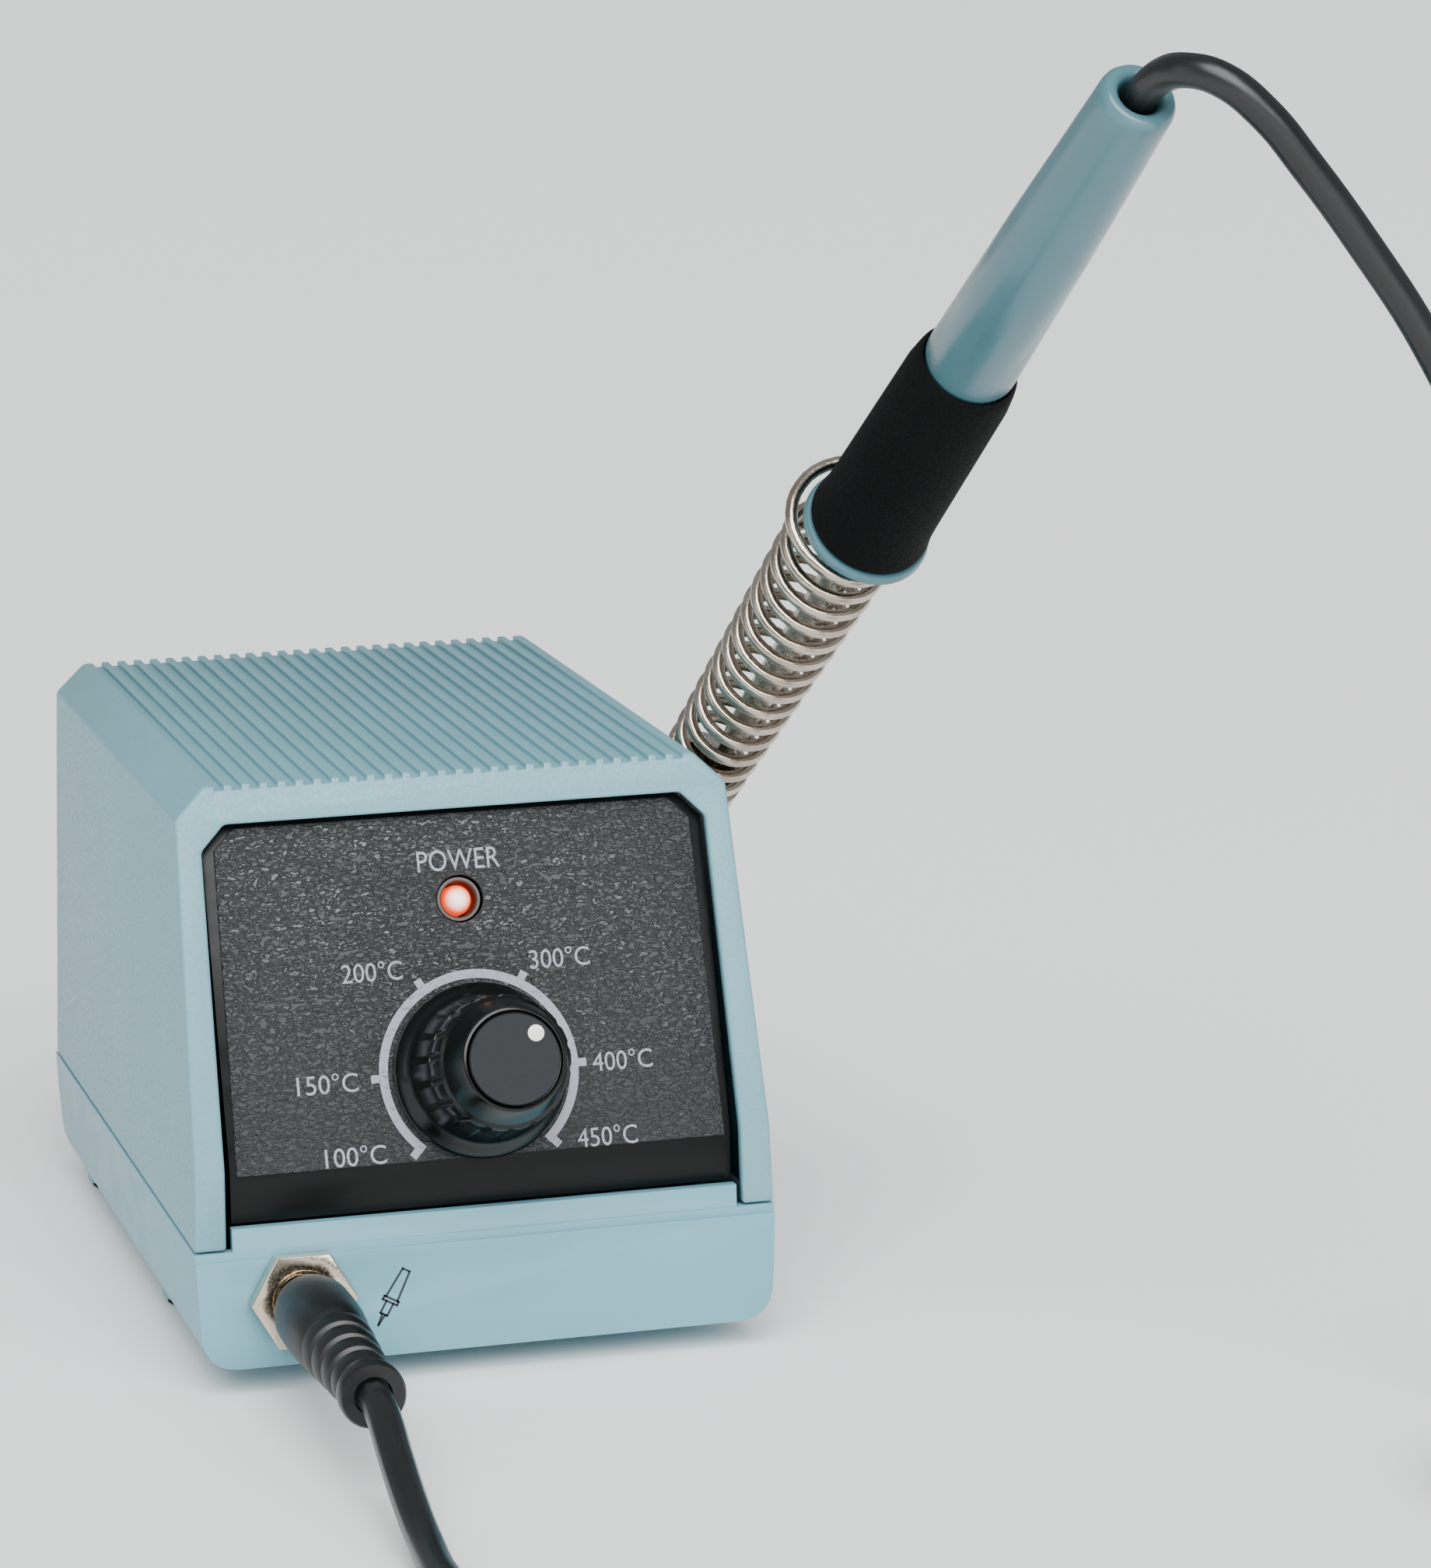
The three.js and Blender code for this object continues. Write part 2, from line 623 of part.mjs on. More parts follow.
const toPlug = [
  [131, -149.6, cordRest],
  [108, -150, cordRest],
  [80, -151, cordRest],
  [50, -151.5, cordRest],
  [22, -150, cordRest],
  [0, -145, cordRest],
  [-17, -135, cordRest],
  [-27, -119, cordRest],
  [-29.8, -101, cordRest],
  [JACK_X, -88, -0.6],
  [JACK_X, -77, 2.6],
  [JACK_X, -69, 6],
  [JACK_X, -62, 9.4],
  [JACK_X, plugTip - 1.5, JACK_Z],
  [JACK_X, plugTip, JACK_Z],
];
add('cord_plug', tube(route(toPlug), CORD_RADIUS, 30), cordBlack);

// ---- origin: middle of the footprint, on the table, cord and plug left out ----------------------
const loose = ['cord_iron', 'cord_coil', 'cord_plug', 'plug_barrel', 'plug_body', 'plug_relief'];
station.updateMatrixWorld(true);
const extent = new THREE.Box3();
station.traverse((node) => {
  if (node.isMesh && !loose.includes(node.name)) extent.expandByObject(node, true);
});
const middle = extent.getCenter(new THREE.Vector3());
const whole = new THREE.Group();
whole.position.set(-middle.x, -middle.y, -extent.min.z);
whole.add(station);

export default whole;
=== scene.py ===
import math

import bpy
from bpy.props import FloatProperty, FloatVectorProperty, PointerProperty
from mathutils import Matrix, Vector
from mathutils.geometry import interpolate_bezier


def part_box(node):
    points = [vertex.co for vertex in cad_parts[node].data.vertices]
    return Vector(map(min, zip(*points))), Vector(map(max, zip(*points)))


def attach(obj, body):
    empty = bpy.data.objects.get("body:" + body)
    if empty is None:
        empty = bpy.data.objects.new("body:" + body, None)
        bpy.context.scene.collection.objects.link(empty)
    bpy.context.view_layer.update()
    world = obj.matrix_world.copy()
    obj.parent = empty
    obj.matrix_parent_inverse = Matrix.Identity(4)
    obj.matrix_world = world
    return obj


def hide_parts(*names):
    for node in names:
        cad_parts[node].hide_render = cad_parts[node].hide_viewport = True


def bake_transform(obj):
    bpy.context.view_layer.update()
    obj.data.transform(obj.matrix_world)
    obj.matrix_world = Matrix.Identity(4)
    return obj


bl_info = {
    "name": "Soldering Station",
    "version": (1, 0, 0),
    "blender": (4, 5, 0),
    "location": "View3D > Sidebar > Station",
    "description": "Builds the looks of a corded soldering station around its packed frame",
    "category": "Object",
}

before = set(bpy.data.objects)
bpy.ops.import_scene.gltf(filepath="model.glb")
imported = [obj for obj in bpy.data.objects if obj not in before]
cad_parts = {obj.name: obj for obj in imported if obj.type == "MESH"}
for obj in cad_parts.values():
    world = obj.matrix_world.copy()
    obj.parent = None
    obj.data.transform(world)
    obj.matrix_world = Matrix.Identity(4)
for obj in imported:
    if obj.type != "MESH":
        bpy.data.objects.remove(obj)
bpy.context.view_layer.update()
MM = 0.001


# ---- places -----------------------------------------------------------------------------------

def side_of(node, index, high=False):
    """One coordinate of a node's box, in metres."""
    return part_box(node)[1 if high else 0][index]


HALF_WIDTH = (side_of("upper_shell", 0, True) - side_of("upper_shell", 0)) / 2 / MM
FOOT_DROP = 4.6
TRAY_PROUD = 0.6
ORIGIN = Vector((
    side_of("upper_shell", 0) + HALF_WIDTH * MM,
    side_of("base_tray", 1) + TRAY_PROUD * MM,
    side_of("rubber_foot_1", 2) + FOOT_DROP * MM,
))

KINK = 31.0
LEAN = 17.5
HEIGHT = 87.8
FRONT_SLOPE = LEAN / (HEIGHT - KINK)
TILT = math.atan(FRONT_SLOPE)
PANEL_SET_BACK = 2.4 + FRONT_SLOPE * 0.2
DIAL_HEIGHT = 42.3
DIAL_X = 0.55
LED_UP = 26.9
DOT_ANGLE = 46.0
DOT_OFFSET = 5.1
JACK = (-29.8, -TRAY_PROUD, 10.7)
PLUG_LENGTH = 54.0
FLANGE_AT = (66.0, 12.5, 122.05)
IRON_AXIS = Vector((0.1401, -0.7533, 0.6432)).normalized()
SPRING_AXIS = Vector((0.144, -0.742, 0.655)).normalized()
MOUTH_AT = (63.2, 13.45, 121.5)
HANDLE_LENGTH = 114.0
CORD_RADIUS = 2.6
CORD_REST = CORD_RADIUS - FOOT_DROP
COIL = (150.0, -118.0)


def place(x, y, z):
    """A point given in millimetres from the tray's front, as metres in the frame."""
    return Vector((x, y, z)) * MM + ORIGIN


def along(origin, direction):
    """A matrix whose +Z runs along the direction, from a point in millimetres."""
    turn = Vector((0, 0, 1)).rotation_difference(direction)
    return Matrix.Translation(place(*origin)) @ turn.to_matrix().to_4x4()


def panel_matrix():
    """The panel's own directions: X across, Y up the panel and Z out of it."""
    front = (DIAL_HEIGHT - KINK) * FRONT_SLOPE + PANEL_SET_BACK
    return Matrix.Translation(place(0, front, DIAL_HEIGHT)) @ Matrix.Rotation(math.pi / 2 - TILT, 4, "X")


PANEL = panel_matrix()
DIAL = PANEL @ Matrix.Translation((DIAL_X * MM, 0, 0))
SOCKET = along(JACK, Vector((0, -1, 0)))
IRON = along(FLANGE_AT, IRON_AXIS)
SPRING = along(MOUTH_AT, SPRING_AXIS)


# ---- materials --------------------------------------------------------------------------------

ABS_IOR = 1.54
CORD_MAP = "CordMap"

def linear(colour):
    """An sRGB hex colour as linear red, green, blue and alpha."""
    parts = [int(colour[i:i + 2], 16) / 255 for i in (1, 3, 5)]
    return tuple(c / 12.92 if c <= 0.04045 else ((c + 0.055) / 1.055) ** 2.4 for c in parts) + (1.0,)


def per_mm(size_mm):
    """The scale of a pattern whose features are about this size."""
    return 1 / (size_mm * MM)


def add_node(tree, kind, inputs=None, **settings):
    """Adds a node with its settings. An input is a value, a socket, or a node that is joined to it."""
    node = tree.nodes.new(kind)
    for name, value in settings.items():
        setattr(node, name, value)
    for name, value in (inputs or {}).items():
        named = [socket for socket in node.inputs if socket.enabled and socket.name == name]
        target = named[0] if named else node.inputs[name]
        if isinstance(value, bpy.types.Node):
            value = next(socket for socket in value.outputs if socket.enabled)
        if isinstance(value, bpy.types.NodeSocket):
            tree.links.new(value, target)
        else:
            target.default_value = value
    return node


def new_material(name):
    """An empty node material, its tree and its object coordinates."""
    material = bpy.data.materials.new(name)
    material.use_nodes = True
    tree = material.node_tree
    tree.nodes.clear()
    return material, tree, add_node(tree, "ShaderNodeTexCoord").outputs["Object"]


def finish_material(material, tree, inputs):
    """Joins a shader with these inputs to the material's output."""
    shader = add_node(tree, "ShaderNodeBsdfPrincipled", inputs)
    add_node(tree, "ShaderNodeOutputMaterial", {"Surface": shader})
    return material


def worn_skin(material, tree, tone, colours, wear, relief, **more):
    """Finishes a material whose patterns drive its colour, its roughness and its relief.

    Tone mixes the dark colour into the light one. Wear is a pattern, the range of it that counts,
    and the roughness at each end of that range. Relief is a pattern and its height in millimetres.
    """
    light, dark = colours
    pattern, low, high, rough_low, rough_high = wear
    height, height_mm = relief
    return finish_material(material, tree, {
        "Base Color": add_node(tree, "ShaderNodeMix", {
            "Factor": tone, "A": linear(dark), "B": linear(light)}, data_type="RGBA"),
        "Roughness": add_node(tree, "ShaderNodeMapRange", {
            "Value": pattern, "From Min": low, "From Max": high,
            "To Min": rough_low, "To Max": rough_high}),
        "Normal": add_node(tree, "ShaderNodeBump", {"Height": height, "Distance": height_mm * MM}),
        **more})


def spark_abs(name, light, dark, roughness=0.48):
    """Injection-moulded ABS with a spark-eroded skin: fine grains that glint as they catch the light, and a
    painted glint: the raised grains are painted lighter and the low ones darker, over the plastic's own
    cloudy tone.
    """
    material, tree, where = new_material(name)
    grain = add_node(tree, "ShaderNodeTexNoise", {"Vector": where, "Scale": per_mm(0.6), "Detail": 2.0})
    cloud = add_node(tree, "ShaderNodeTexNoise", {"Vector": where, "Scale": per_mm(24.0), "Detail": 3.0})
    # painted glint: the grain's height is added to the tone, so raised grains are painted lighter and the
    # hollows between them darker as painted shade
    tone = add_node(tree, "ShaderNodeMapRange", {
        "Value": grain, "From Min": 0.3, "From Max": 0.7, "To Min": -0.15, "To Max": 0.15})
    cloud_and_painted_glint = add_node(tree, "ShaderNodeMath", {0: tone, 1: cloud}, operation="ADD")
    wear = (grain, 0.35, 0.65, roughness - 0.14, roughness + 0.12)
    return worn_skin(material, tree, cloud_and_painted_glint, (light, dark), wear, (grain, 0.07), IOR=ABS_IOR)


def satin_abs(name, light, dark, roughness=0.4, specular=0.5):
    """ABS from a polished mould: an even satin skin with faint flow marks along the part."""
    material, tree, where = new_material(name)
    drawn = add_node(tree, "ShaderNodeMapping", {"Vector": where, "Scale": (0.5, 1.0, 2.0)})
    flow = add_node(tree, "ShaderNodeTexNoise", {"Vector": drawn, "Scale": per_mm(12.0), "Detail": 4.0})
    fine = add_node(tree, "ShaderNodeTexNoise", {"Vector": where, "Scale": per_mm(0.4), "Detail": 2.0})
    wear = (flow, 0.3, 0.7, roughness - 0.06, roughness + 0.07)
    return worn_skin(material, tree, flow, (light, dark), wear, (fine, 0.008),
                     **{"IOR": ABS_IOR, "Specular IOR Level": specular})


def grain_creases(tree, where):
    """The etched grain's pattern: short creases, about 0.7 mm across, a little longer sideways."""
    drawn = add_node(tree, "ShaderNodeMapping", {"Vector": where, "Scale": (0.6, 1.0, 1.15)})
    return add_node(tree, "ShaderNodeTexNoise", {
        "Vector": drawn, "Scale": per_mm(0.7), "Detail": 3.0, "Roughness": 0.6, "Distortion": 0.4})


def leather_grain_abs(name, light, dark, roughness=0.4):
    """ABS moulded in an etched grain: dark raised creases whose smooth crests catch the light, painted
    lighter on the crests as a painted highlight and darker in the hollows as painted shade.
    """
    material, tree, where = new_material(name)
    crest = add_node(tree, "ShaderNodeMapRange", {
        "Value": grain_creases(tree, where), "From Min": 0.42, "From Max": 0.62})
    wear = (crest, 0.0, 1.0, roughness + 0.14, roughness - 0.1)
    # the crest's height also picks the colour: a painted highlight on the crests and painted shade in the
    # hollows
    return worn_skin(material, tree, crest, (light, dark), wear, (crest, 0.24), IOR=ABS_IOR)


def screen_ink(name, light, dark):
    """Screen-printed ink over the same grain: matt, and thin in the hollows of the creases."""
    material, tree, where = new_material(name)
    crease = grain_creases(tree, where)
    cover = add_node(tree, "ShaderNodeMapRange", {"Value": crease, "From Min": 0.28, "From Max": 0.44})
    return finish_material(material, tree, {
        "Base Color": add_node(tree, "ShaderNodeMix", {
            "Factor": cover, "A": linear(dark), "B": linear(light)}, data_type="RGBA"),
        "Roughness": 0.55,
        "Normal": add_node(tree, "ShaderNodeBump", {"Height": crease, "Distance": 0.1 * MM}),
    })


def gloss_phenolic(name, colour, roughness=0.2):
    """Compression-moulded phenolic: deep black gloss, slightly wavy, with fine rub marks."""
    material, tree, where = new_material(name)
    wave = add_node(tree, "ShaderNodeTexNoise", {"Vector": where, "Scale": per_mm(5.0), "Detail": 1.0})
    drawn = add_node(tree, "ShaderNodeMapping", {"Vector": where, "Scale": (1.0, 1.0, 5.0)})
    rub = add_node(tree, "ShaderNodeTexNoise", {"Vector": drawn, "Scale": per_mm(1.2), "Detail": 4.0})
    return finish_material(material, tree, {
        "Base Color": linear(colour),
        "Roughness": add_node(tree, "ShaderNodeMapRange", {
            "Value": rub, "From Min": 0.35, "From Max": 0.65,
            "To Min": roughness - 0.02, "To Max": roughness + 0.03}),
        "Normal": add_node(tree, "ShaderNodeBump", {"Height": wave, "Distance": 0.01 * MM}),
        "IOR": 1.5, "Specular IOR Level": 0.35,
    })


def matt_paint(name, light, dark, roughness=0.55, specular=0.5):
    """Sprayed matt paint over plastic: flat in tone, with a very fine orange-peel skin."""
    material, tree, where = new_material(name)
    peel = add_node(tree, "ShaderNodeTexNoise", {"Vector": where, "Scale": per_mm(0.5), "Detail": 2.0})
    wear = (peel, 0.3, 0.7, roughness - 0.06, roughness + 0.06)
    return worn_skin(material, tree, peel, (light, dark), wear, (peel, 0.015),
                     **{"Specular IOR Level": specular})


def plated_metal(name, light, dark, roughness=0.2, mark_mm=0.5):
    """Nickel or zinc plate on metal: bright, with fine marks of its making and a faint tarnish."""
    material, tree, where = new_material(name)
    marks = add_node(tree, "ShaderNodeTexNoise", {"Vector": where, "Scale": per_mm(mark_mm), "Detail": 3.0})
    stain = add_node(tree, "ShaderNodeTexNoise", {"Vector": where, "Scale": per_mm(6.0), "Detail": 3.0})
    tarnish = add_node(tree, "ShaderNodeMapRange", {"Value": stain, "From Min": 0.35, "From Max": 0.62})
    wear = (marks, 0.35, 0.65, roughness - 0.07, roughness + 0.09)
    return worn_skin(material, tree, tarnish, (light, dark), wear, (marks, 0.01), Metallic=1.0)


def soft_pvc(name, light, dark, roughness=0.4):
    """Moulded soft PVC: half-gloss black, with a faint wavy skin and patches dulled by handling."""
    material, tree, where = new_material(name)
    skin = add_node(tree, "ShaderNodeTexNoise", {"Vector": where, "Scale": per_mm(1.4), "Detail": 3.0})
    patch = add_node(tree, "ShaderNodeTexNoise", {"Vector": where, "Scale": per_mm(16.0), "Detail": 3.0})
    wear = (patch, 0.35, 0.65, roughness - 0.08, roughness + 0.12)
    return worn_skin(material, tree, patch, (light, dark), wear, (skin, 0.02))


def extruded_pvc(name, light, dark, roughness=0.36):
    """Extruded soft PVC sheath: half-gloss black, with long faint pulls that run along the cord."""
    material, tree, _ = new_material(name)
    along_cord = add_node(tree, "ShaderNodeUVMap", uv_map=CORD_MAP)
    # the map holds millimetres along the cord and round it, so a pull is about 25 mm by 0.6 mm
    pull = add_node(tree, "ShaderNodeMapping", {"Vector": along_cord, "Scale": (0.04, 1.6, 1.0)})
    streak = add_node(tree, "ShaderNodeTexNoise", {"Vector": pull, "Scale": 1.0, "Detail": 3.0})
    patch = add_node(tree, "ShaderNodeTexNoise", {"Vector": along_cord, "Scale": 0.05, "Detail": 3.0})
    wear = (streak, 0.3, 0.7, roughness - 0.08, roughness + 0.12)
    return worn_skin(material, tree, patch, (light, dark), wear, (streak, 0.03))


def foam_rubber(name, light, dark):
    """Nitrile foam: matt black, with fine open cells that swallow the light."""
    material, tree, where = new_material(name)
    cells = add_node(tree, "ShaderNodeTexVoronoi", {"Vector": where, "Scale": per_mm(0.6)})
    cloud = add_node(tree, "ShaderNodeTexNoise", {"Vector": where, "Scale": per_mm(7.0), "Detail": 3.0})
    wear = (cells, 0.0, 0.7, 0.7, 0.9)
    return worn_skin(material, tree, cloud, (light, dark), wear, (cells, 0.05),
                     **{"Specular IOR Level": 0.12})


def lamp_epoxy(name):
    """Tinted epoxy of a lit lamp: pale in the middle where the chip shines, orange at the rim."""
    material, tree, where = new_material(name)
    centre = PANEL @ Vector((0, LED_UP * MM, -0.8 * MM))
    offset = add_node(tree, "ShaderNodeVectorMath", {0: where, 1: centre}, operation="DISTANCE")
    rim = add_node(tree, "ShaderNodeMapRange", {
        "Value": offset, "From Min": 0.7 * MM, "From Max": 2.2 * MM})
    glow = add_node(tree, "ShaderNodeMix", {
        "Factor": rim, "A": linear("#ffe9dc"), "B": linear("#ff4f1f")}, data_type="RGBA")
    return finish_material(material, tree, {
        "Base Color": glow, "Emission Color": glow, "Emission Strength": 1.0,
        "Roughness": 0.18, "IOR": 1.55,
    })


def laminated_steel(name, light, dark, sheet_mm=1.0):
    """Stacked transformer sheets under varnish, drawn 1 mm thick so that they show: fine dark lines."""
    material, tree, where = new_material(name)
    lines = add_node(tree, "ShaderNodeTexWave", {
        "Vector": where, "Scale": per_mm(sheet_mm) / 20, "Distortion": 0.2}, bands_direction="Y")
    return finish_material(material, tree, {
        "Base Color": add_node(tree, "ShaderNodeMix", {
            "Factor": lines, "A": linear(dark), "B": linear(light)}, data_type="RGBA"),
        "Metallic": 1.0, "Roughness": 0.5,
        "Normal": add_node(tree, "ShaderNodeBump", {"Height": lines, "Distance": 0.08 * MM}),
    })


# ---- making pieces ----------------------------------------------------------------------------

def deselect_all():
    """Leaves edit mode and clears the selection."""
    if bpy.context.object and bpy.context.object.mode != "OBJECT":
        bpy.ops.object.mode_set(mode="OBJECT")
    bpy.ops.object.select_all(action="DESELECT")


def pick(piece):
    """Makes one piece the only selected and active one."""
    deselect_all()
    piece.select_set(True)
    bpy.context.view_layer.objects.active = piece


def settle(piece, name, matrix=None):
    """Names the new piece, takes it to its place and applies that to its mesh."""
    pick(piece)
    piece.name = name
    piece.data.name = name
    if matrix is not None:
        piece.matrix_world = matrix @ piece.matrix_world
    bpy.ops.object.transform_apply(location=True, rotation=True, scale=True)
    return piece


MERGE_MM = 0.002
REFINED_MERGE_MM = 0.004
FLAT_ANGLE = 1.0


def outward(piece):
    """Merges doubles and turns all faces outwards."""
    pick(piece)
    bpy.ops.object.mode_set(mode="EDIT")
    bpy.ops.mesh.select_all(action="SELECT")
    bpy.ops.mesh.remove_doubles(threshold=MERGE_MM * MM)
    bpy.ops.mesh.normals_make_consistent(inside=False)
    bpy.ops.object.mode_set(mode="OBJECT")


def round_edges(piece, width_mm, segments=2, angle=30.0):
    """Bevels every edge sharper than the angle, and applies it."""
    pick(piece)
    modifier = piece.modifiers.new("Rounded edges", "BEVEL")
    modifier.width = width_mm * MM
    modifier.segments = segments
    modifier.limit_method = "ANGLE"
    modifier.angle_limit = math.radians(angle)
    modifier.harden_normals = False
    bpy.ops.object.modifier_apply(modifier=modifier.name)


def smooth(piece, angle):
    """Smooth shading with sharp edges kept."""
    pick(piece)
    bpy.ops.object.shade_smooth_by_angle(angle=math.radians(angle))


def dress(piece, material, slot, body, *nodes):
    """Gives a piece its finish, its body when one is given, and hides the CAD nodes that it stands for."""
    piece.data.materials.clear()
    piece.data.materials.append(material)
    if body:
        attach(piece, body)
    if nodes:
        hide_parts(*nodes)
    return piece


def paint(node, material):
    """Gives a CAD node that keeps its shape a better finish."""
    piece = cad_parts[node]
    for slot in piece.material_slots:
        slot.material = material


def turned(name, profile, matrix, sides):
    """A turned piece: a circle is extruded, moved and resized from one profile point to the next."""
    deselect_all()
    radius, height = profile[0]
    closed = profile[0] == profile[-1]
    fill = "NOTHING" if closed else "NGON"
    bpy.ops.mesh.primitive_circle_add(vertices=sides, radius=radius * MM, fill_type=fill,
                                      location=(0, 0, height * MM))
    piece = bpy.context.object
    bpy.ops.object.transform_apply(location=True, rotation=False, scale=False)
    bpy.ops.object.mode_set(mode="EDIT")
    bpy.ops.mesh.select_all(action="SELECT")
    for next_radius, next_height in profile[1:]:
        move = {"value": (0, 0, (next_height - height) * MM)}
        if closed:
            bpy.ops.mesh.extrude_edges_move(TRANSFORM_OT_translate=move)
        else:
            bpy.ops.mesh.extrude_region_move(TRANSFORM_OT_translate=move)
        scale = next_radius / radius
        bpy.ops.transform.resize(value=(scale, scale, 1), center_override=(0, 0, next_height * MM))
        radius, height = next_radius, next_height
    bpy.ops.object.mode_set(mode="OBJECT")
    outward(piece)
    return settle(piece, name, matrix)


def lathe(name, profile, matrix, sides, angle, *dressing):
    """A turned piece, shaded and dressed in one go."""
    piece = turned(name, profile, matrix, sides)
    smooth(piece, angle)
    return dress(piece, *dressing)


def refined(name, node):
    """A merged copy of a CAD node, with its flat faces joined, ready for rounding."""
    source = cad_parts[node]
    deselect_all()
    source.select_set(True)
    bpy.context.view_layer.objects.active = source
    bpy.ops.object.duplicate()
    piece = bpy.context.object
    piece.parent = None
    for tag in list(piece.keys()):
        del piece[tag]
    settle(piece, name)
    bpy.ops.object.mode_set(mode="EDIT")
    bpy.ops.mesh.select_all(action="SELECT")
    bpy.ops.mesh.remove_doubles(threshold=REFINED_MERGE_MM * MM)
    bpy.ops.mesh.dissolve_limited(angle_limit=math.radians(FLAT_ANGLE))
    bpy.ops.object.mode_set(mode="OBJECT")
    return piece


def rounded_copy(name, node, width_mm, segments, edge_angle, angle, *dressing):
    """A CAD node's shape with its edges rounded, shaded and dressed."""
    piece = refined(name, node)
    round_edges(piece, width_mm, segments, edge_angle)
    smooth(piece, angle)
    return dress(piece, *dressing, node)


# ---- settings ---------------------------------------------------------------------------------

class StationSizes(bpy.types.PropertyGroup):
    """Sizes that a user may change."""
    wire_diameter: FloatProperty(
        name="Spring wire", description="Diameter of the holder's wire",
        default=2.0 * MM, unit="LENGTH")
    spring_turns: FloatProperty(
        name="Spring turns", description="Number of turns of the holder's coil", default=13.5)
    edge_radius: FloatProperty(
        name="Edge rounding", description="Rounding of the housing's edges",
        default=0.7 * MM, unit="LENGTH")
    print_height: FloatProperty(
        name="Print height", description="Height of the figures on the dial",
        default=3.1 * MM, unit="LENGTH")
    cord_diameter: FloatProperty(
        name="Cord diameter", description="Outside diameter of the iron's cord",
        default=2 * CORD_RADIUS * MM, unit="LENGTH")


def colour_property(name, description, hex_value):
    """A colour setting with its default from a hex value."""
    return FloatVectorProperty(name=name, description=description, subtype="COLOR_GAMMA", size=3,
                               min=0.0, max=1.0,
                               default=[int(hex_value[i:i + 2], 16) / 255 for i in (1, 3, 5)])


class StationColours(bpy.types.PropertyGroup):
    """Colours that a user may change."""
    case: colour_property("Housing", "Colour of the ribbed housing", "#6a9aa4")
    tray: colour_property("Tray", "Colour of the lower tray", "#699dab")
    handle: colour_property("Handle", "Colour of the iron's handle", "#456c75")
    panel: colour_property("Panel", "Colour of the grained panel", "#202325")


def hex_of(colour, shade=1.0):
    """A colour setting as hex, made lighter or darker by the shade."""
    return "#" + "".join(f"{max(0, min(255, round(c * shade * 255))):02x}" for c in colour)


class StationOperator(bpy.types.Operator):
    """Base of the piece operators."""
    bl_options = {"REGISTER", "UNDO"}


# ---- stage ------------------------------------------------------------------------------------

CAMERA_AT = (-186.9, -838.7, 258.3)
CAMERA_YAW = 15.0
CAMERA_PITCH = 11.22
CAMERA_ROLL = -1.14
CAMERA_LENS = 131.9


def add_light(name, where, aim, size, power):
    """A soft rectangular light that points at a place."""
    bpy.ops.object.light_add(type="AREA", location=where)
    light = bpy.context.object
    light.name = name
    light.data.shape = "RECTANGLE"
    light.data.size = size[0]
    light.data.size_y = size[1]
    light.data.energy = power
    light.rotation_euler = (Vector(aim) - Vector(where)).to_track_quat("-Z", "Y").to_euler()


class STATION_OT_stage(StationOperator):
    """Makes the camera, the pale floor and the soft studio light."""
    bl_idname = "station.stage"
    bl_label = "Stage"

    def execute(self, context):
        deselect_all()
        bpy.ops.object.camera_add(location=place(*CAMERA_AT))
        camera = context.object
        camera.name = "Camera"
        camera.data.lens = CAMERA_LENS
        camera.data.sensor_width = 36
        camera.data.clip_end = 50
        turn = Matrix.Rotation(math.radians(-CAMERA_YAW), 4, "Z")
        turn = turn @ Matrix.Rotation(math.radians(90 - CAMERA_PITCH), 4, "X")
        turn = turn @ Matrix.Rotation(math.radians(CAMERA_ROLL), 4, "Z")
        camera.rotation_euler = turn.to_euler()
        context.scene.camera = camera

        bpy.ops.mesh.primitive_plane_add(size=30)
        floor = context.object
        floor.name = "Floor"
        material, tree, _ = new_material("Pale studio floor")
        floor.data.materials.append(finish_material(material, tree, {
            "Base Color": linear("#fbfbfa"), "Roughness": 0.8}))

        world = bpy.data.worlds.new("Soft studio")
        context.scene.world = world
        world.use_nodes = True
        world.node_tree.nodes["Background"].inputs["Color"].default_value = linear("#e6edf2")
        world.node_tree.nodes["Background"].inputs["Strength"].default_value = 0.5
        bpy.ops.object.light_add(type="SUN", location=(-0.3, -1.4, 1.4))
        key = context.object
        key.name = "Key light"
        key.data.energy = 4.6
        key.data.angle = math.radians(50)
        key.rotation_euler = Vector((0.16, 0.70, -0.70)).to_track_quat("-Z", "Y").to_euler()
        middle = (0, 0, 0.08)
        add_light("Softbox", (0.35, -1.31, 0.63), middle, (0.9, 0.6), 10)
        add_light("Fill light", (-1.2, -0.3, 0.5), middle, (0.5, 0.8), 1.5)
        return {"FINISHED"}


# ---- cord -------------------------------------------------------------------------------------

FROM_IRON = [
    (80.05, -63.03, 186.54), (81.8, -72.2, 194.3), (83.4, -77.8, 198.0), (85.7, -82.4, 199.0),
    (89.5, -85.6, 197.8), (95.2, -87.2, 193.0), (101.4, -87.2, 185.6), (109.8, -86.8, 174.6),
    (120.0, -86.2, 159.6), (127.8, -85.4, 144.0), (133.4, -85.0, 124.0), (137.0, -84.8, 100.0),
    (139.5, -85.2, 76.0), (141.6, -86.0, 54.0), (143.8, -86.6, 36.0), (146.8, -86.6, 22.0),
    (150.4, -86.6, 13.4), (157.0, -87.2, 6.2),
]
TO_PLUG = [
    (131.0, -149.6, CORD_REST), (108.0, -150.0, CORD_REST), (80.0, -151.0, CORD_REST),
    (50.0, -151.5, CORD_REST), (22.0, -150.0, CORD_REST), (0.0, -145.0, CORD_REST),
    (-17.0, -135.0, CORD_REST), (-27.0, -119.0, CORD_REST), (-29.8, -101.0, CORD_REST),
    (-29.8, -88.0, -0.6), (-29.8, -77.0, 2.6), (-29.8, -69.0, 6.0), (-29.8, -62.0, 9.4),
    (-29.8, -56.4, 10.7), (-29.8, -54.9, 10.7),
]
COIL_RADIUS = 29.0
COIL_START = 62.0
COIL_TURNS = 3.0 + (COIL_START + 90.0) / 360.0
STEPS_PER_TURN = 16


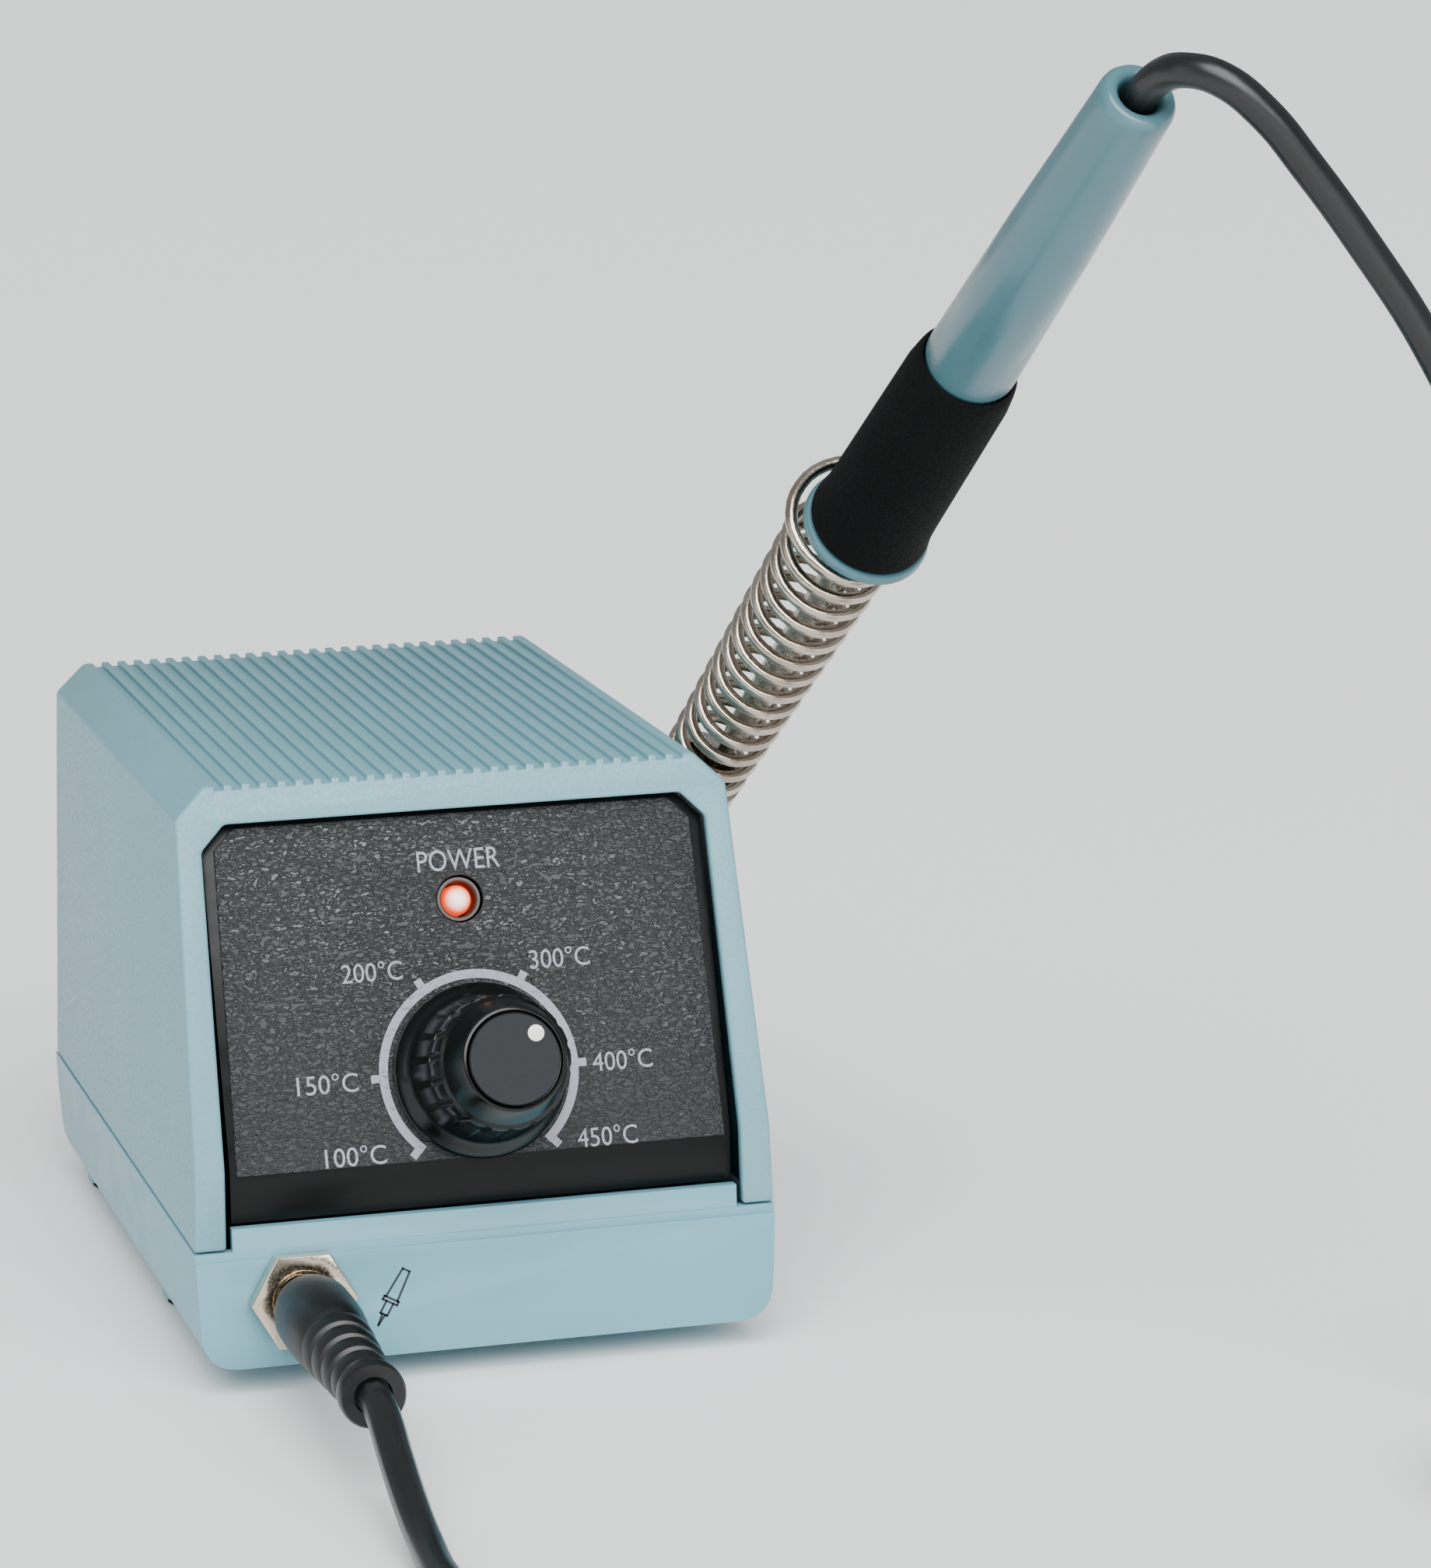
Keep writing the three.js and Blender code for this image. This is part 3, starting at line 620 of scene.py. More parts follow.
def coil_points():
    """The coil's turns, clockwise and two by two: top outer, top inner, low inner, low outer."""
    lanes = [(1, 1), (-1, 1), (-1, -1), (1, -1)]
    steps = round(COIL_TURNS * STEPS_PER_TURN)
    points = []
    for i in range(steps + 1):
        turn = COIL_TURNS * i / steps
        lane = min(int(turn), 3)
        following = min(lane + 1, 3)
        change = max(0.0, (turn - lane - 0.75) / 0.25)
        ease = change * change * (3 - 2 * change)
        side = lanes[lane][0] * (1 - ease) + lanes[following][0] * ease
        level = lanes[lane][1] * (1 - ease) + lanes[following][1] * ease
        radius = COIL_RADIUS + side * CORD_RADIUS
        angle = math.radians(COIL_START) - 2 * math.pi * turn
        height = CORD_REST + CORD_RADIUS * (1 + level)
        points.append((COIL[0] + radius * math.cos(angle), COIL[1] + radius * math.sin(angle), height))
    return points


class STATION_OT_cord(StationOperator):
    """Makes the cord from the iron through its coil to the plug."""
    bl_idname = "station.cord"
    bl_label = "Cord"

    def execute(self, context):
        sizes = context.scene.station_sizes
        route = [place(*p) for p in FROM_IRON + coil_points() + TO_PLUG]
        deselect_all()
        bpy.ops.curve.primitive_bezier_curve_add()
        guide = context.object
        spline = guide.data.splines[0]
        spline.bezier_points.add(len(route) - 2)
        for point, where in zip(spline.bezier_points, route):
            point.co = where
            point.handle_left_type = "AUTO"
            point.handle_right_type = "AUTO"
        guide.data.bevel_depth = sizes.cord_diameter / 2
        guide.data.bevel_resolution = 3
        guide.data.resolution_u = 6
        guide.data.use_fill_caps = True
        path = bezier_path(spline, 6)
        bpy.ops.object.convert(target="MESH")
        cord = settle(context.object, "iron_cord")
        smooth(cord, 60)
        map_in_mm(cord, path, math.pi * sizes.cord_diameter)
        cord.data.materials.append(extruded_pvc("Extruded soft PVC sheath", "#131415", "#0a0b0b", 0.3))
        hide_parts("cord_iron", "cord_coil", "cord_plug")
        context.scene["cord_path"] = [c for p in path for c in p]
        return {"FINISHED"}


def map_in_mm(cord, path, girth):
    """Stretches the tube's own map to millimetres along the cord and round it."""
    lengths = [0.0]
    for first, second in zip(path[:-1], path[1:]):
        lengths.append(lengths[-1] + (second - first).length / MM)
    layer = cord.data.uv_layers[0]
    layer.name = CORD_MAP
    for corner in layer.data:
        ring = round(corner.uv[0] * (len(path) - 1))
        corner.uv = (lengths[ring], corner.uv[1] * girth / MM)


def bezier_path(spline, parts):
    """Points along a smooth curve, as its tube follows them."""
    path = []
    knots = spline.bezier_points
    for first, second in zip(knots[:-1], knots[1:]):
        stretch = interpolate_bezier(first.co, first.handle_right, second.handle_left, second.co, parts + 1)
        path.extend(stretch[:-1])
    path.append(knots[-1].co.copy())
    return path


# ---- housing ----------------------------------------------------------------------------------

def round_by_place(piece, width_mm, small, is_small, angle=25.0, segments=3):
    """Bevels the sharp edges, to a smaller width where is_small says so."""
    weights = piece.data.attributes.new("bevel_weight_edge", "FLOAT", "EDGE")
    normals = {}
    for face in piece.data.polygons:
        for key in face.edge_keys:
            normals.setdefault(key, []).append(face.normal.copy())
    for edge in piece.data.edges:
        sides = normals.get(edge.key, [])
        if len(sides) != 2 or sides[0].angle(sides[1], 0.0) < math.radians(angle):
            continue
        ends = [(piece.data.vertices[v].co - ORIGIN) / MM for v in edge.vertices]
        weights.data[edge.index].value = small if all(is_small(end) for end in ends) else 1.0
    pick(piece)
    modifier = piece.modifiers.new("Rounded edges", "BEVEL")
    modifier.width = width_mm * MM
    modifier.segments = segments
    modifier.limit_method = "WEIGHT"
    bpy.ops.object.modifier_apply(modifier=modifier.name)


RIB_DEPTH = 1.0
RIBS_HALF = 38.7


class STATION_OT_housing(StationOperator):
    """Rounds the ribbed housing and the tray and gives them their moulded skins."""
    bl_idname = "station.housing"
    bl_label = "Housing and tray"

    def execute(self, context):
        sizes = context.scene.station_sizes
        colours = context.scene.station_colours
        # the two shades hold the housing's cloudy tone, and through the grain they also paint its glints
        # and the shade between them
        case = spark_abs("Spark-textured ABS housing", hex_of(colours.case, 1.03),
                         hex_of(colours.case, 0.95))
        tray_skin = satin_abs("Satin ABS tray", hex_of(colours.tray, 1.02), hex_of(colours.tray, 0.96))
        radius = sizes.edge_radius / MM

        def on_ribs(point):
            return point.z > HEIGHT - RIB_DEPTH and abs(point.x) < RIBS_HALF

        shell = refined("housing_shell", "upper_shell")
        round_by_place(shell, radius, 0.3, on_ribs)
        smooth(shell, 40)
        dress(shell, case, "case", "station", "upper_shell")

        rounded_copy("lower_tray", "base_tray", radius * 0.6, 2, 25, 40, tray_skin, "tray", "station")

        rubber = foam_rubber("Moulded rubber foot", "#232424", "#161717")
        for index in range(1, 5):
            rounded_copy(f"foot_{index}", f"rubber_foot_{index}", 0.35, 2, 30, 40, rubber, "rubber",
                         "station")
        return {"FINISHED"}


# ---- panel and print --------------------------------------------------------------------------

FIELD_LOW = -13.2
FIELD_TOP = 40.3
FIELD_HALF_LOW = 38.7
FIELD_HALF_TOP = 37.8
FIELD_RISE = 0.35
FIELD_CORNER = 3.2
RING_INNER = 14.4
RING_OUTER = 15.8
RING_GAP_FROM = -49.5
INK = 0.06
MARKS = [(100, 227, (-20.0, -11.5)), (150, 180, (-23.4, -0.1)), (200, 120, (-14.9, 16.6)),
         (300, 60, (14.9, 16.6)), (400, 0, (23.4, -0.1)), (450, -47, (19.9, -11.7))]


def block(name, size, centre, matrix=None):
    """A box of a size about a centre, in millimetres."""
    deselect_all()
    bpy.ops.mesh.primitive_cube_add(size=1)
    piece = bpy.context.object
    piece.scale = Vector(size) * MM
    piece.location = Vector(centre) * MM
    return settle(piece, name, matrix)


def copied(piece, matrix):
    """A copy of a piece with its own mesh, moved by the matrix."""
    pick(piece)
    bpy.ops.object.duplicate()
    return settle(bpy.context.object, piece.name, matrix)


def select_edges(piece, wanted):
    """Selects the edges whose two ends, in metres, pass the test, and enters edit mode."""
    pick(piece)
    bpy.ops.object.mode_set(mode="EDIT")
    bpy.ops.mesh.select_mode(type="EDGE")
    bpy.ops.mesh.select_all(action="DESELECT")
    bpy.ops.object.mode_set(mode="OBJECT")
    for edge in piece.data.edges:
        ends = [piece.data.vertices[v].co for v in edge.vertices]
        edge.select = wanted(*ends)
    bpy.ops.object.mode_set(mode="EDIT")


def cut_away(piece, cutter):
    """Subtracts one piece from another and removes the cutter."""
    pick(piece)
    modifier = piece.modifiers.new("Cut", "BOOLEAN")
    modifier.operation = "DIFFERENCE"
    modifier.object = cutter
    modifier.solver = "EXACT"
    bpy.ops.object.modifier_apply(modifier=modifier.name)
    bpy.data.objects.remove(cutter, do_unlink=True)


def field_piece():
    """The raised grained field, with its cut top corners and the lamp's hole."""
    middle = (FIELD_LOW + FIELD_TOP) / 2
    height = FIELD_TOP - FIELD_LOW
    thick = FIELD_RISE + 0.2
    field = block("panel_field", (2 * FIELD_HALF_LOW, height, thick), (0, middle, FIELD_RISE - thick / 2))
    top = FIELD_TOP * MM - 1e-6

    select_edges(field, lambda a, b: min(a.y, b.y) > top)
    bpy.ops.transform.resize(value=(FIELD_HALF_TOP / FIELD_HALF_LOW, 1, 1), center_override=(0, top, 0))
    bpy.ops.object.mode_set(mode="OBJECT")
    select_edges(field, lambda a, b: min(a.y, b.y) > top and abs(a.z - b.z) > 1e-4)
    bpy.ops.mesh.bevel(offset=FIELD_CORNER * MM, segments=1, affect="EDGES")
    bpy.ops.object.mode_set(mode="OBJECT")
    deselect_all()
    bpy.ops.mesh.primitive_cylinder_add(vertices=48, radius=3.7 * MM, depth=4 * MM,
                                        location=(0, LED_UP * MM, 0))
    cut_away(field, bpy.context.object)
    round_edges(field, 0.22, 3, 30)
    smooth(field, 40)
    return settle(field, "panel_field", PANEL)


def join(pieces, name):
    """Joins pieces into one."""
    deselect_all()
    for piece in pieces:
        piece.select_set(True)
    bpy.context.view_layer.objects.active = pieces[0]
    bpy.ops.object.join()
    joined = bpy.context.object
    joined.name = name
    joined.data.name = name
    return joined


def dial_ring():
    """The printed band round the knob with its outward marks."""
    deselect_all()
    bpy.ops.mesh.primitive_plane_add(size=1)
    band = bpy.context.object
    band.scale = ((RING_OUTER - RING_INNER) * MM, INK * MM, 1)
    band.rotation_euler = (math.pi / 2, 0, 0)
    band.location = ((RING_INNER + RING_OUTER) / 2 * MM, 0, (FIELD_RISE + INK / 2) * MM)
    bpy.ops.object.transform_apply(location=True, rotation=True, scale=True)
    band.rotation_euler = (0, 0, math.radians(180 - RING_GAP_FROM))
    bpy.ops.object.transform_apply(location=True, rotation=True, scale=True)
    bpy.ops.object.mode_set(mode="EDIT")
    bpy.ops.mesh.select_all(action="SELECT")
    sweep = math.radians(180 - 2 * RING_GAP_FROM)
    bpy.ops.mesh.spin(steps=96, angle=sweep, center=(0, 0, 0), axis=(0, 0, 1))
    bpy.ops.object.mode_set(mode="OBJECT")
    outward(band)
    mark = block("mark", (1.35, 1.25, INK), (RING_OUTER + 0.6, 0, FIELD_RISE + INK / 2))
    pieces = [band] + [copied(mark, Matrix.Rotation(math.radians(angle), 4, "Z")) for _, angle, _ in MARKS]
    bpy.data.objects.remove(mark, do_unlink=True)
    return settle(join(pieces, "dial_ring"), "dial_ring", DIAL)


def lettering(name, text, centre, width, height):
    """Flat printed text of a width and height about a centre on the panel, in millimetres."""
    deselect_all()
    bpy.ops.object.text_add()
    letters = bpy.context.object
    letters.data.body = text
    letters.data.size = height * MM
    letters.data.align_x = "CENTER"
    letters.data.align_y = "CENTER"
    letters.data.extrude = INK / 2 * MM
    letters.data.resolution_u = 4
    bpy.ops.object.convert(target="MESH")
    letters = bpy.context.object
    low, high = letters.bound_box[0], letters.bound_box[6]
    wide, tall = high[0] - low[0], high[1] - low[1]
    middle = Vector(((low[0] + high[0]) / 2, (low[1] + high[1]) / 2, 0))
    grow = Matrix.Diagonal((width * MM / wide, height * MM / tall, 1, 1))
    centre_at = Matrix.Translation(Vector((centre[0], centre[1], FIELD_RISE + INK / 2)) * MM)
    letters.matrix_world = Matrix.Identity(4)
    return settle(letters, name, PANEL @ centre_at @ grow @ Matrix.Translation(-middle))


class STATION_OT_panel(StationOperator):
    """Makes the black panel with its grained field and the printed dial."""
    bl_idname = "station.panel"
    bl_label = "Panel and print"

    def execute(self, context):
        colours = context.scene.station_colours
        height = context.scene.station_sizes.print_height / MM
        black = satin_abs("Black polished ABS", "#070909", "#050606", 0.3, 0.2)
        rounded_copy("panel_border", "front_panel", 0.3, 2, 30, 40, black, "panel", "station")
        # the lighter shade is the painted highlight on the grain's crests, the darker one the painted shade
        # in its hollows
        grain = leather_grain_abs("Leather-grained ABS panel", hex_of(colours.panel, 1.04),
                                  hex_of(colours.panel, 0.86))
        dress(field_piece(), grain, "panel", "station")
        ink = screen_ink("Pale grey screen ink", "#8d919a", "#63676c")
        dress(dial_ring(), ink, "white", "station")
        for value, _, centre in MARKS:
            figures = lettering(f"figures_{value}", f"{value}°C", centre, 9.6, height)
            dress(figures, ink, "white", "station")
        word = lettering("lamp_word", "POWER", (0.3, 33.0), 13.1, height * 1.06)
        dress(word, ink, "white", "station")
        return {"FINISHED"}


class STATION_OT_lamp(StationOperator):
    """Makes the lamp's lens and its black holder."""
    bl_idname = "station.lamp"
    bl_label = "Lamp"

    def execute(self, context):
        seat = PANEL @ Matrix.Translation((0, LED_UP * MM, 0))
        epoxy = lamp_epoxy("Lit orange epoxy")
        profile = [(2.4, -7), (2.4, -2.9), (2.25, -2.0), (1.9, -1.35), (1.35, -0.9), (0.7, -0.68),
                   (0.2, -0.62)]
        lathe("lamp_lens", profile, seat, 48, 60, epoxy, "lamp", "station", "led_lens")
        black = satin_abs("Black lamp holder", "#0e1011", "#0a0b0c", 0.35)
        profile = [(2.75, -5), (3.6, -5), (3.6, -0.9), (3.4, -0.6), (3.0, -0.6), (2.75, -0.9), (2.75, -5)]
        lathe("lamp_holder", profile, seat, 48, 40, black, "gloss_black", "station", "led_holder")
        return {"FINISHED"}


# ---- knob -------------------------------------------------------------------------------------

KNOB_FLOOR = 25.6
FLUTES = 18


class STATION_OT_knob(StationOperator):
    """Makes the fluted knob with its flat face and white dot."""
    bl_idname = "station.knob"
    bl_label = "Knob"

    def execute(self, context):
        top = KNOB_FLOOR
        profile = [(13.3, 1.0), (13.7, 1.4), (13.7, 2.6), (13.35, 3.2), (12.4, 4.2), (11.7, 4.9),
                   (11.35, 5.7), (10.2, 12.1), (10.25, 12.4), (10.6, 12.9), (10.4, 19.1), (10.2, 19.6),
                   (9.65, 19.95), (8.1, top + 0.4), (7.85, top + 0.8), (7.5, top + 0.9),
                   (7.3, top + 0.7), (7.3, top), (1.0, top)]
        body = turned("knob_body", profile, Matrix.Identity(4), 108)
        deselect_all()
        bpy.ops.mesh.primitive_cylinder_add(vertices=20, radius=0.95 * MM, depth=8.8 * MM,
                                            location=(11.0 * MM, 0, 16.2 * MM))
        flute = settle(bpy.context.object, "flute")
        steps = [2 * math.pi * (i + 0.5) / FLUTES for i in range(FLUTES)]
        flutes = [copied(flute, Matrix.Rotation(step, 4, "Z")) for step in steps]
        bpy.data.objects.remove(flute, do_unlink=True)
        cut_away(body, join(flutes, "flutes"))
        round_edges(body, 0.16, 2, 35)
        smooth(body, 40)
        settle(body, "knob_body", DIAL)
        dress(body, gloss_phenolic("Gloss black phenolic", "#050606"), "gloss_black", "knob", "knob")

        charcoal = matt_paint("Matt charcoal paint", "#25282b", "#1f2225", 0.55, 0.15)
        profile = [(6.85, top + 0.3), (7.0, top + 0.5), (7.0, top + 1.0), (6.85, top + 1.2),
                   (1.0, top + 1.2)]
        lathe("knob_cap", profile, DIAL, 96, 40, charcoal, "knob_face", "knob", "knob_face")
        white = matt_paint("White marking paint", "#f1efe8", "#e2dfd6", 0.45)
        turn = math.radians(DOT_ANGLE)
        spot = Vector((math.cos(turn), math.sin(turn), 0)) * DOT_OFFSET * MM
        profile = [(1.26, top + 1.1), (1.26, top + 1.28), (1.1, top + 1.36), (0.4, top + 1.38)]
        seat = DIAL @ Matrix.Translation(spot)
        lathe("pointer_dot", profile, seat, 40, 40, white, "white", "knob", "knob_dot")
        paint("pot_shaft", plated_metal("Turned steel shaft", "#b5b3b0", "#8f8d8a", 0.3))
        return {"FINISHED"}


# ---- socket and plug --------------------------------------------------------------------------

def plug_profile():
    """The moulded plug from its neck at the socket to where the ribs start."""
    return [(4.3, 4.9), (4.9, 5.2), (5.3, 6.2), (5.9, 8.6), (6.2, 10.5), (6.25, 15), (6.2, 20),
            (6.0, 23), (5.5, 25.4), (4.9, 26.8), (4.3, 27.4), (1, 27.5)]


def relief_profile():
    """The ribbed strain relief, each rib a little thinner than the last, and its end collar."""
    profile = [(4.2, 27.9)]
    ribs = 4
    pitch = (PLUG_LENGTH - 3.2 - 28.2) / ribs
    for i in range(ribs):
        outer = 5.6 - 0.32 * i
        z = 28.2 + i * pitch
        profile += [(outer - 0.35, z), (outer, z + 0.4), (outer - 0.1, z + pitch * 0.5),
                    (outer - 0.5, z + pitch * 0.62), (outer - 1.5, z + pitch * 0.7),
                    (outer - 1.6, z + pitch * 0.93)]
    last = PLUG_LENGTH - 3.2
    return profile + [(4.7, last), (5.0, last + 0.4), (5.0, PLUG_LENGTH - 0.5), (4.7, PLUG_LENGTH),
                      (2.9, PLUG_LENGTH), (2.75, PLUG_LENGTH - 0.4), (2.7, PLUG_LENGTH - 1.2)]


class STATION_OT_socket(StationOperator):
    """Makes the socket's nut and the moulded plug with its ribbed strain relief."""
    bl_idname = "station.socket"
    bl_label = "Socket and plug"

    def execute(self, context):
        nickel = plated_metal("Nickel-plated brass nut", "#dccfba", "#c8b9a1", 0.2, 0.4)
        rounded_copy("socket_nut", "jack_nut", 0.45, 3, 25, 30, nickel, "nickel", "station")
        paint("jack_body", nickel)
        profile = [(3.2, -12), (3.2, 3.5), (4.1, 3.6), (4.4, 3.8), (4.4, 4.4), (4.2, 4.6), (1, 4.6)]
        lathe("plug_collar", profile, SOCKET, 48, 40, nickel, "nickel", "plug", "plug_barrel")
        rubber = soft_pvc("Moulded soft PVC plug", "#121314", "#0b0c0c", 0.38)
        lathe("plug_moulding", plug_profile(), SOCKET, 56, 50, rubber, "cord", "plug", "plug_body")
        relief = lathe("plug_ribs", relief_profile(), SOCKET, 56, 35, rubber, "cord", None, "plug_relief")
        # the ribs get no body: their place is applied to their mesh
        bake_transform(relief)
        return {"FINISHED"}


def stroke(start, end, width=0.32):
    """One printed line on the tray's front, between two points given as across and up."""
    a, b = Vector(start), Vector(end)
    line = b - a
    bar = block("line", (line.length + width * 0.9, width, INK), (0, 0, 0))
    middle = (a + b) / 2
    turn = Matrix.Rotation(math.atan2(line.y, line.x), 4, "Z")
    return settle(bar, "line", Matrix.Translation(Vector((middle.x, middle.y, 0)) * MM) @ turn)


class STATION_OT_pictogram(StationOperator):
    """Prints the small outline of an iron beside the socket."""
    bl_idname = "station.pictogram"
    bl_label = "Iron pictogram"

    def execute(self, context):
        tip = Vector((-17.9, 5.0))
        lean = math.radians(61)
        forward = Vector((math.cos(lean), math.sin(lean)))
        across = Vector((-forward.y, forward.x))

        def at(distance, side):
            return tip + forward * distance + across * side

        outline = [
            (at(0, 0), at(1.9, 0.25)), (at(0, 0), at(1.9, -0.25)),
            (at(1.9, 0.6), at(1.9, -0.6)), (at(1.9, 0.6), at(4.0, 0.6)), (at(1.9, -0.6), at(4.0, -0.6)),
            (at(4.0, 1.25), at(4.0, -1.25)), (at(4.6, 1.25), at(4.6, -1.25)),
            (at(4.0, 1.25), at(4.6, 1.25)), (at(4.0, -1.25), at(4.6, -1.25)),
            (at(4.6, 1.0), at(9.6, 0.62)), (at(4.6, -1.0), at(9.6, -0.62)), (at(9.6, 0.62), at(9.6, -0.62)),
        ]
        upright = Matrix.Rotation(math.pi / 2, 4, "X")
        front = Matrix.Translation(place(0, -TRAY_PROUD - INK / 2, 0)) @ upright
        drawn = join([stroke(a, b) for a, b in outline], "iron_pictogram")
        settle(drawn, "iron_pictogram", front)
        dress(drawn, screen_ink("Dark pad-printed ink", "#1c2427", "#14191b"), "white", "station")
        return {"FINISHED"}


# ---- holder -----------------------------------------------------------------------------------

SPRING_LENGTH = 69.0
SPRING_FOOT_RADIUS = 6.5
SPRING_MOUTH_RADIUS = 8.35
MOUTH_ANGLE = 225.0
LOOP_ANGLE = 150.0
LOOP_RISE = 4.2
LOOP_RADIUS = 11.9


def spring_point(t, turns):
    """A point of the coil in its own frame: it turns clockwise and ends in a loop behind the flange."""
    turned_by = t * (360 * turns + LOOP_ANGLE) - 360 * turns
    below = max(0.0, -turned_by) / (360 * turns)
    past = max(0.0, turned_by) / LOOP_ANGLE
    coil = SPRING_MOUTH_RADIUS + (SPRING_FOOT_RADIUS - SPRING_MOUTH_RADIUS) * below
    radius = coil + (LOOP_RADIUS - coil) * past ** 1.3
    angle = math.radians(MOUTH_ANGLE - turned_by)
    height = LOOP_RISE * (0.55 * past + 0.45 * past ** 2) - SPRING_LENGTH * below
    return Vector((radius * math.cos(angle), radius * math.sin(angle), height)) * MM


def screw_head():
    """A domed head with a crossed slot, standing on its flat side."""
    head = turned("screw", [(3.2, 0), (3.4, 0.3), (3.3, 1.1), (2.8, 1.7), (1.9, 2.05), (0.5, 2.1)],
                  Matrix.Identity(4), 40)
    for turn in (0, math.pi / 2):
        cut_away(head, block("slot", (0.7, 4.0, 2.0), (0, 0, 1.9), Matrix.Rotation(turn, 4, "Z")))
    smooth(head, 35)
    return head


class STATION_OT_holder(StationOperator):
    """Makes the coiled wire holder, its bracket and the bracket's screws."""
    bl_idname = "station.holder"
    bl_label = "Spring holder"

    def execute(self, context):
        sizes = context.scene.station_sizes
        deselect_all()
        bpy.ops.curve.primitive_bezier_curve_add()
        guide = context.object
        spline = guide.data.splines[0]
        steps = round((sizes.spring_turns + LOOP_ANGLE / 360) * 12)
        spline.bezier_points.add(steps - 1)
        for i, point in enumerate(spline.bezier_points):
            point.co = SPRING @ spring_point(i / steps, sizes.spring_turns)
            point.handle_left_type = "AUTO"
            point.handle_right_type = "AUTO"
        guide.data.bevel_depth = sizes.wire_diameter / 2
        guide.data.bevel_resolution = 4
        guide.data.resolution_u = 3
        guide.data.use_fill_caps = True
        bpy.ops.object.convert(target="MESH")
        spring = settle(context.object, "wire_coil")
        smooth(spring, 60)
        wire = plated_metal("Nickel-plated spring wire", "#c3b7a9", "#a6998b", 0.17, 0.35)
        dress(spring, wire, "nickel", "station", "holder_spring")

        plate = plated_metal("Nickel-plated pressed steel", "#b9b1a8", "#a89f95", 0.26, 0.8)
        rounded_copy("side_bracket", "holder_bracket", 0.3, 2, 35, 40, plate, "nickel", "station")
        zinc = plated_metal("Zinc-plated screw", "#bfc3c6", "#90959a", 0.32, 0.3)
        screw = screw_head()
        for index in (1, 2):
            node = f"holder_screw_{index}"
            low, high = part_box(node)
            seat = Matrix.Translation((low[0], (low[1] + high[1]) / 2, (low[2] + high[2]) / 2))
            head = copied(screw, seat @ Matrix.Rotation(math.pi / 2, 4, "Y"))
            head.name = head.data.name = f"bracket_screw_{index}"
            dress(head, zinc, "zinc", "station", node)
        bpy.data.objects.remove(screw, do_unlink=True)
        return {"FINISHED"}


# ---- iron -------------------------------------------------------------------------------------

GRIP_END = 46.5
BARREL_LENGTH = 52.0


class STATION_OT_iron(StationOperator):
    """Makes the iron: flange, foam grip, tapered handle, barrel, collar and tip."""
    bl_idname = "station.iron"
    bl_label = "Iron"

    def execute(self, context):
        colours = context.scene.station_colours
        blue = satin_abs("Half-gloss polyamide handle", hex_of(colours.handle, 1.04),
                          hex_of(colours.handle, 0.95), 0.24)
        end = HANDLE_LENGTH
        profile = [(6.4, 0.2), (6.6, 0), (9.8, 0), (10.3, 0.5), (10.3, 1.4), (10.0, 1.9), (9.6, 2.0),
                   (6.4, 2.0), (6.4, 0.2)]
        lathe("iron_guard", profile, IRON, 72, 40, blue, "handle", "iron", "iron_flange")

        foam = foam_rubber("Nitrile foam sleeve", "#070909", "#040505")
        top = GRIP_END
        profile = [(6.6, 2.5), (6.9, 2.3), (9.3, 2.3), (9.65, 2.6), (9.75, 3.2), (9.65, 4.2), (9.35, 6.2),
                   (9.2, 10), (8.65, top - 5.5), (8.3, top - 2.4), (8.1, top - 1.2), (7.8, top - 0.4),
                   (7.55, top), (7.3, top - 0.3), (7.1, top - 1.6), (6.6, top - 4), (6.6, 2.5)]
        lathe("iron_sleeve", profile, IRON, 72, 50, foam, "foam", "iron", "iron_grip")

        profile = [(5.0, -1), (6.1, -0.8), (6.1, top - 5), (7.1, top + 0.2), (7.3, top + 0.6), (6.75, 80),
                   (5.9, end - 5), (5.85, end - 2.0), (5.7, end - 1.1), (5.3, end - 0.4), (4.8, end),
                   (3.9, end - 0.1), (3.3, end - 0.6), (3.0, end - 1.6), (3.0, end - 14), (0.5, end - 14)]
        lathe("iron_shell", profile, IRON, 72, 50, blue, "handle", "iron", "iron_handle")

        steel = plated_metal("Drawn stainless barrel", "#b4aea6", "#a19b93", 0.22, 0.5)
        low = -BARREL_LENGTH
        profile = [(1.9, low), (2.3, low), (2.5, low + 0.2), (2.5, -1.3), (1.9, -1.3), (1.9, low)]
        lathe("iron_tube", profile, IRON, 48, 40, steel, "steel", "iron", "iron_barrel")
        profile = [(2.8, -6), (3.8, -6), (4.1, -5.6), (4.1, -1.7), (3.8, -1.3), (2.8, -1.3), (2.8, -6)]
        lathe("iron_ring", profile, IRON, 48, 40, steel, "steel", "iron", "iron_collar")

        tinned = plated_metal("Tinned iron-plated copper", "#b3aca4", "#978c81", 0.32, 0.6)
        profile = [(1.6, low + 13), (1.6, low - 0.3), (2.2, low - 0.3), (2.2, low - 8), (2.05, low - 9.5),
                   (1.4, low - 14), (0.55, low - 20.8), (0.32, low - 21.8), (0.12, low - 22)]
        lathe("iron_point", profile, IRON, 48, 40, tinned, "copper", "iron", "iron_tip")
        paint("iron_heater", matt_paint("Fired alumina heater", "#e4ded2", "#cfc7b8", 0.7))
        return {"FINISHED"}


# ---- rear and inside --------------------------------------------------------------------------

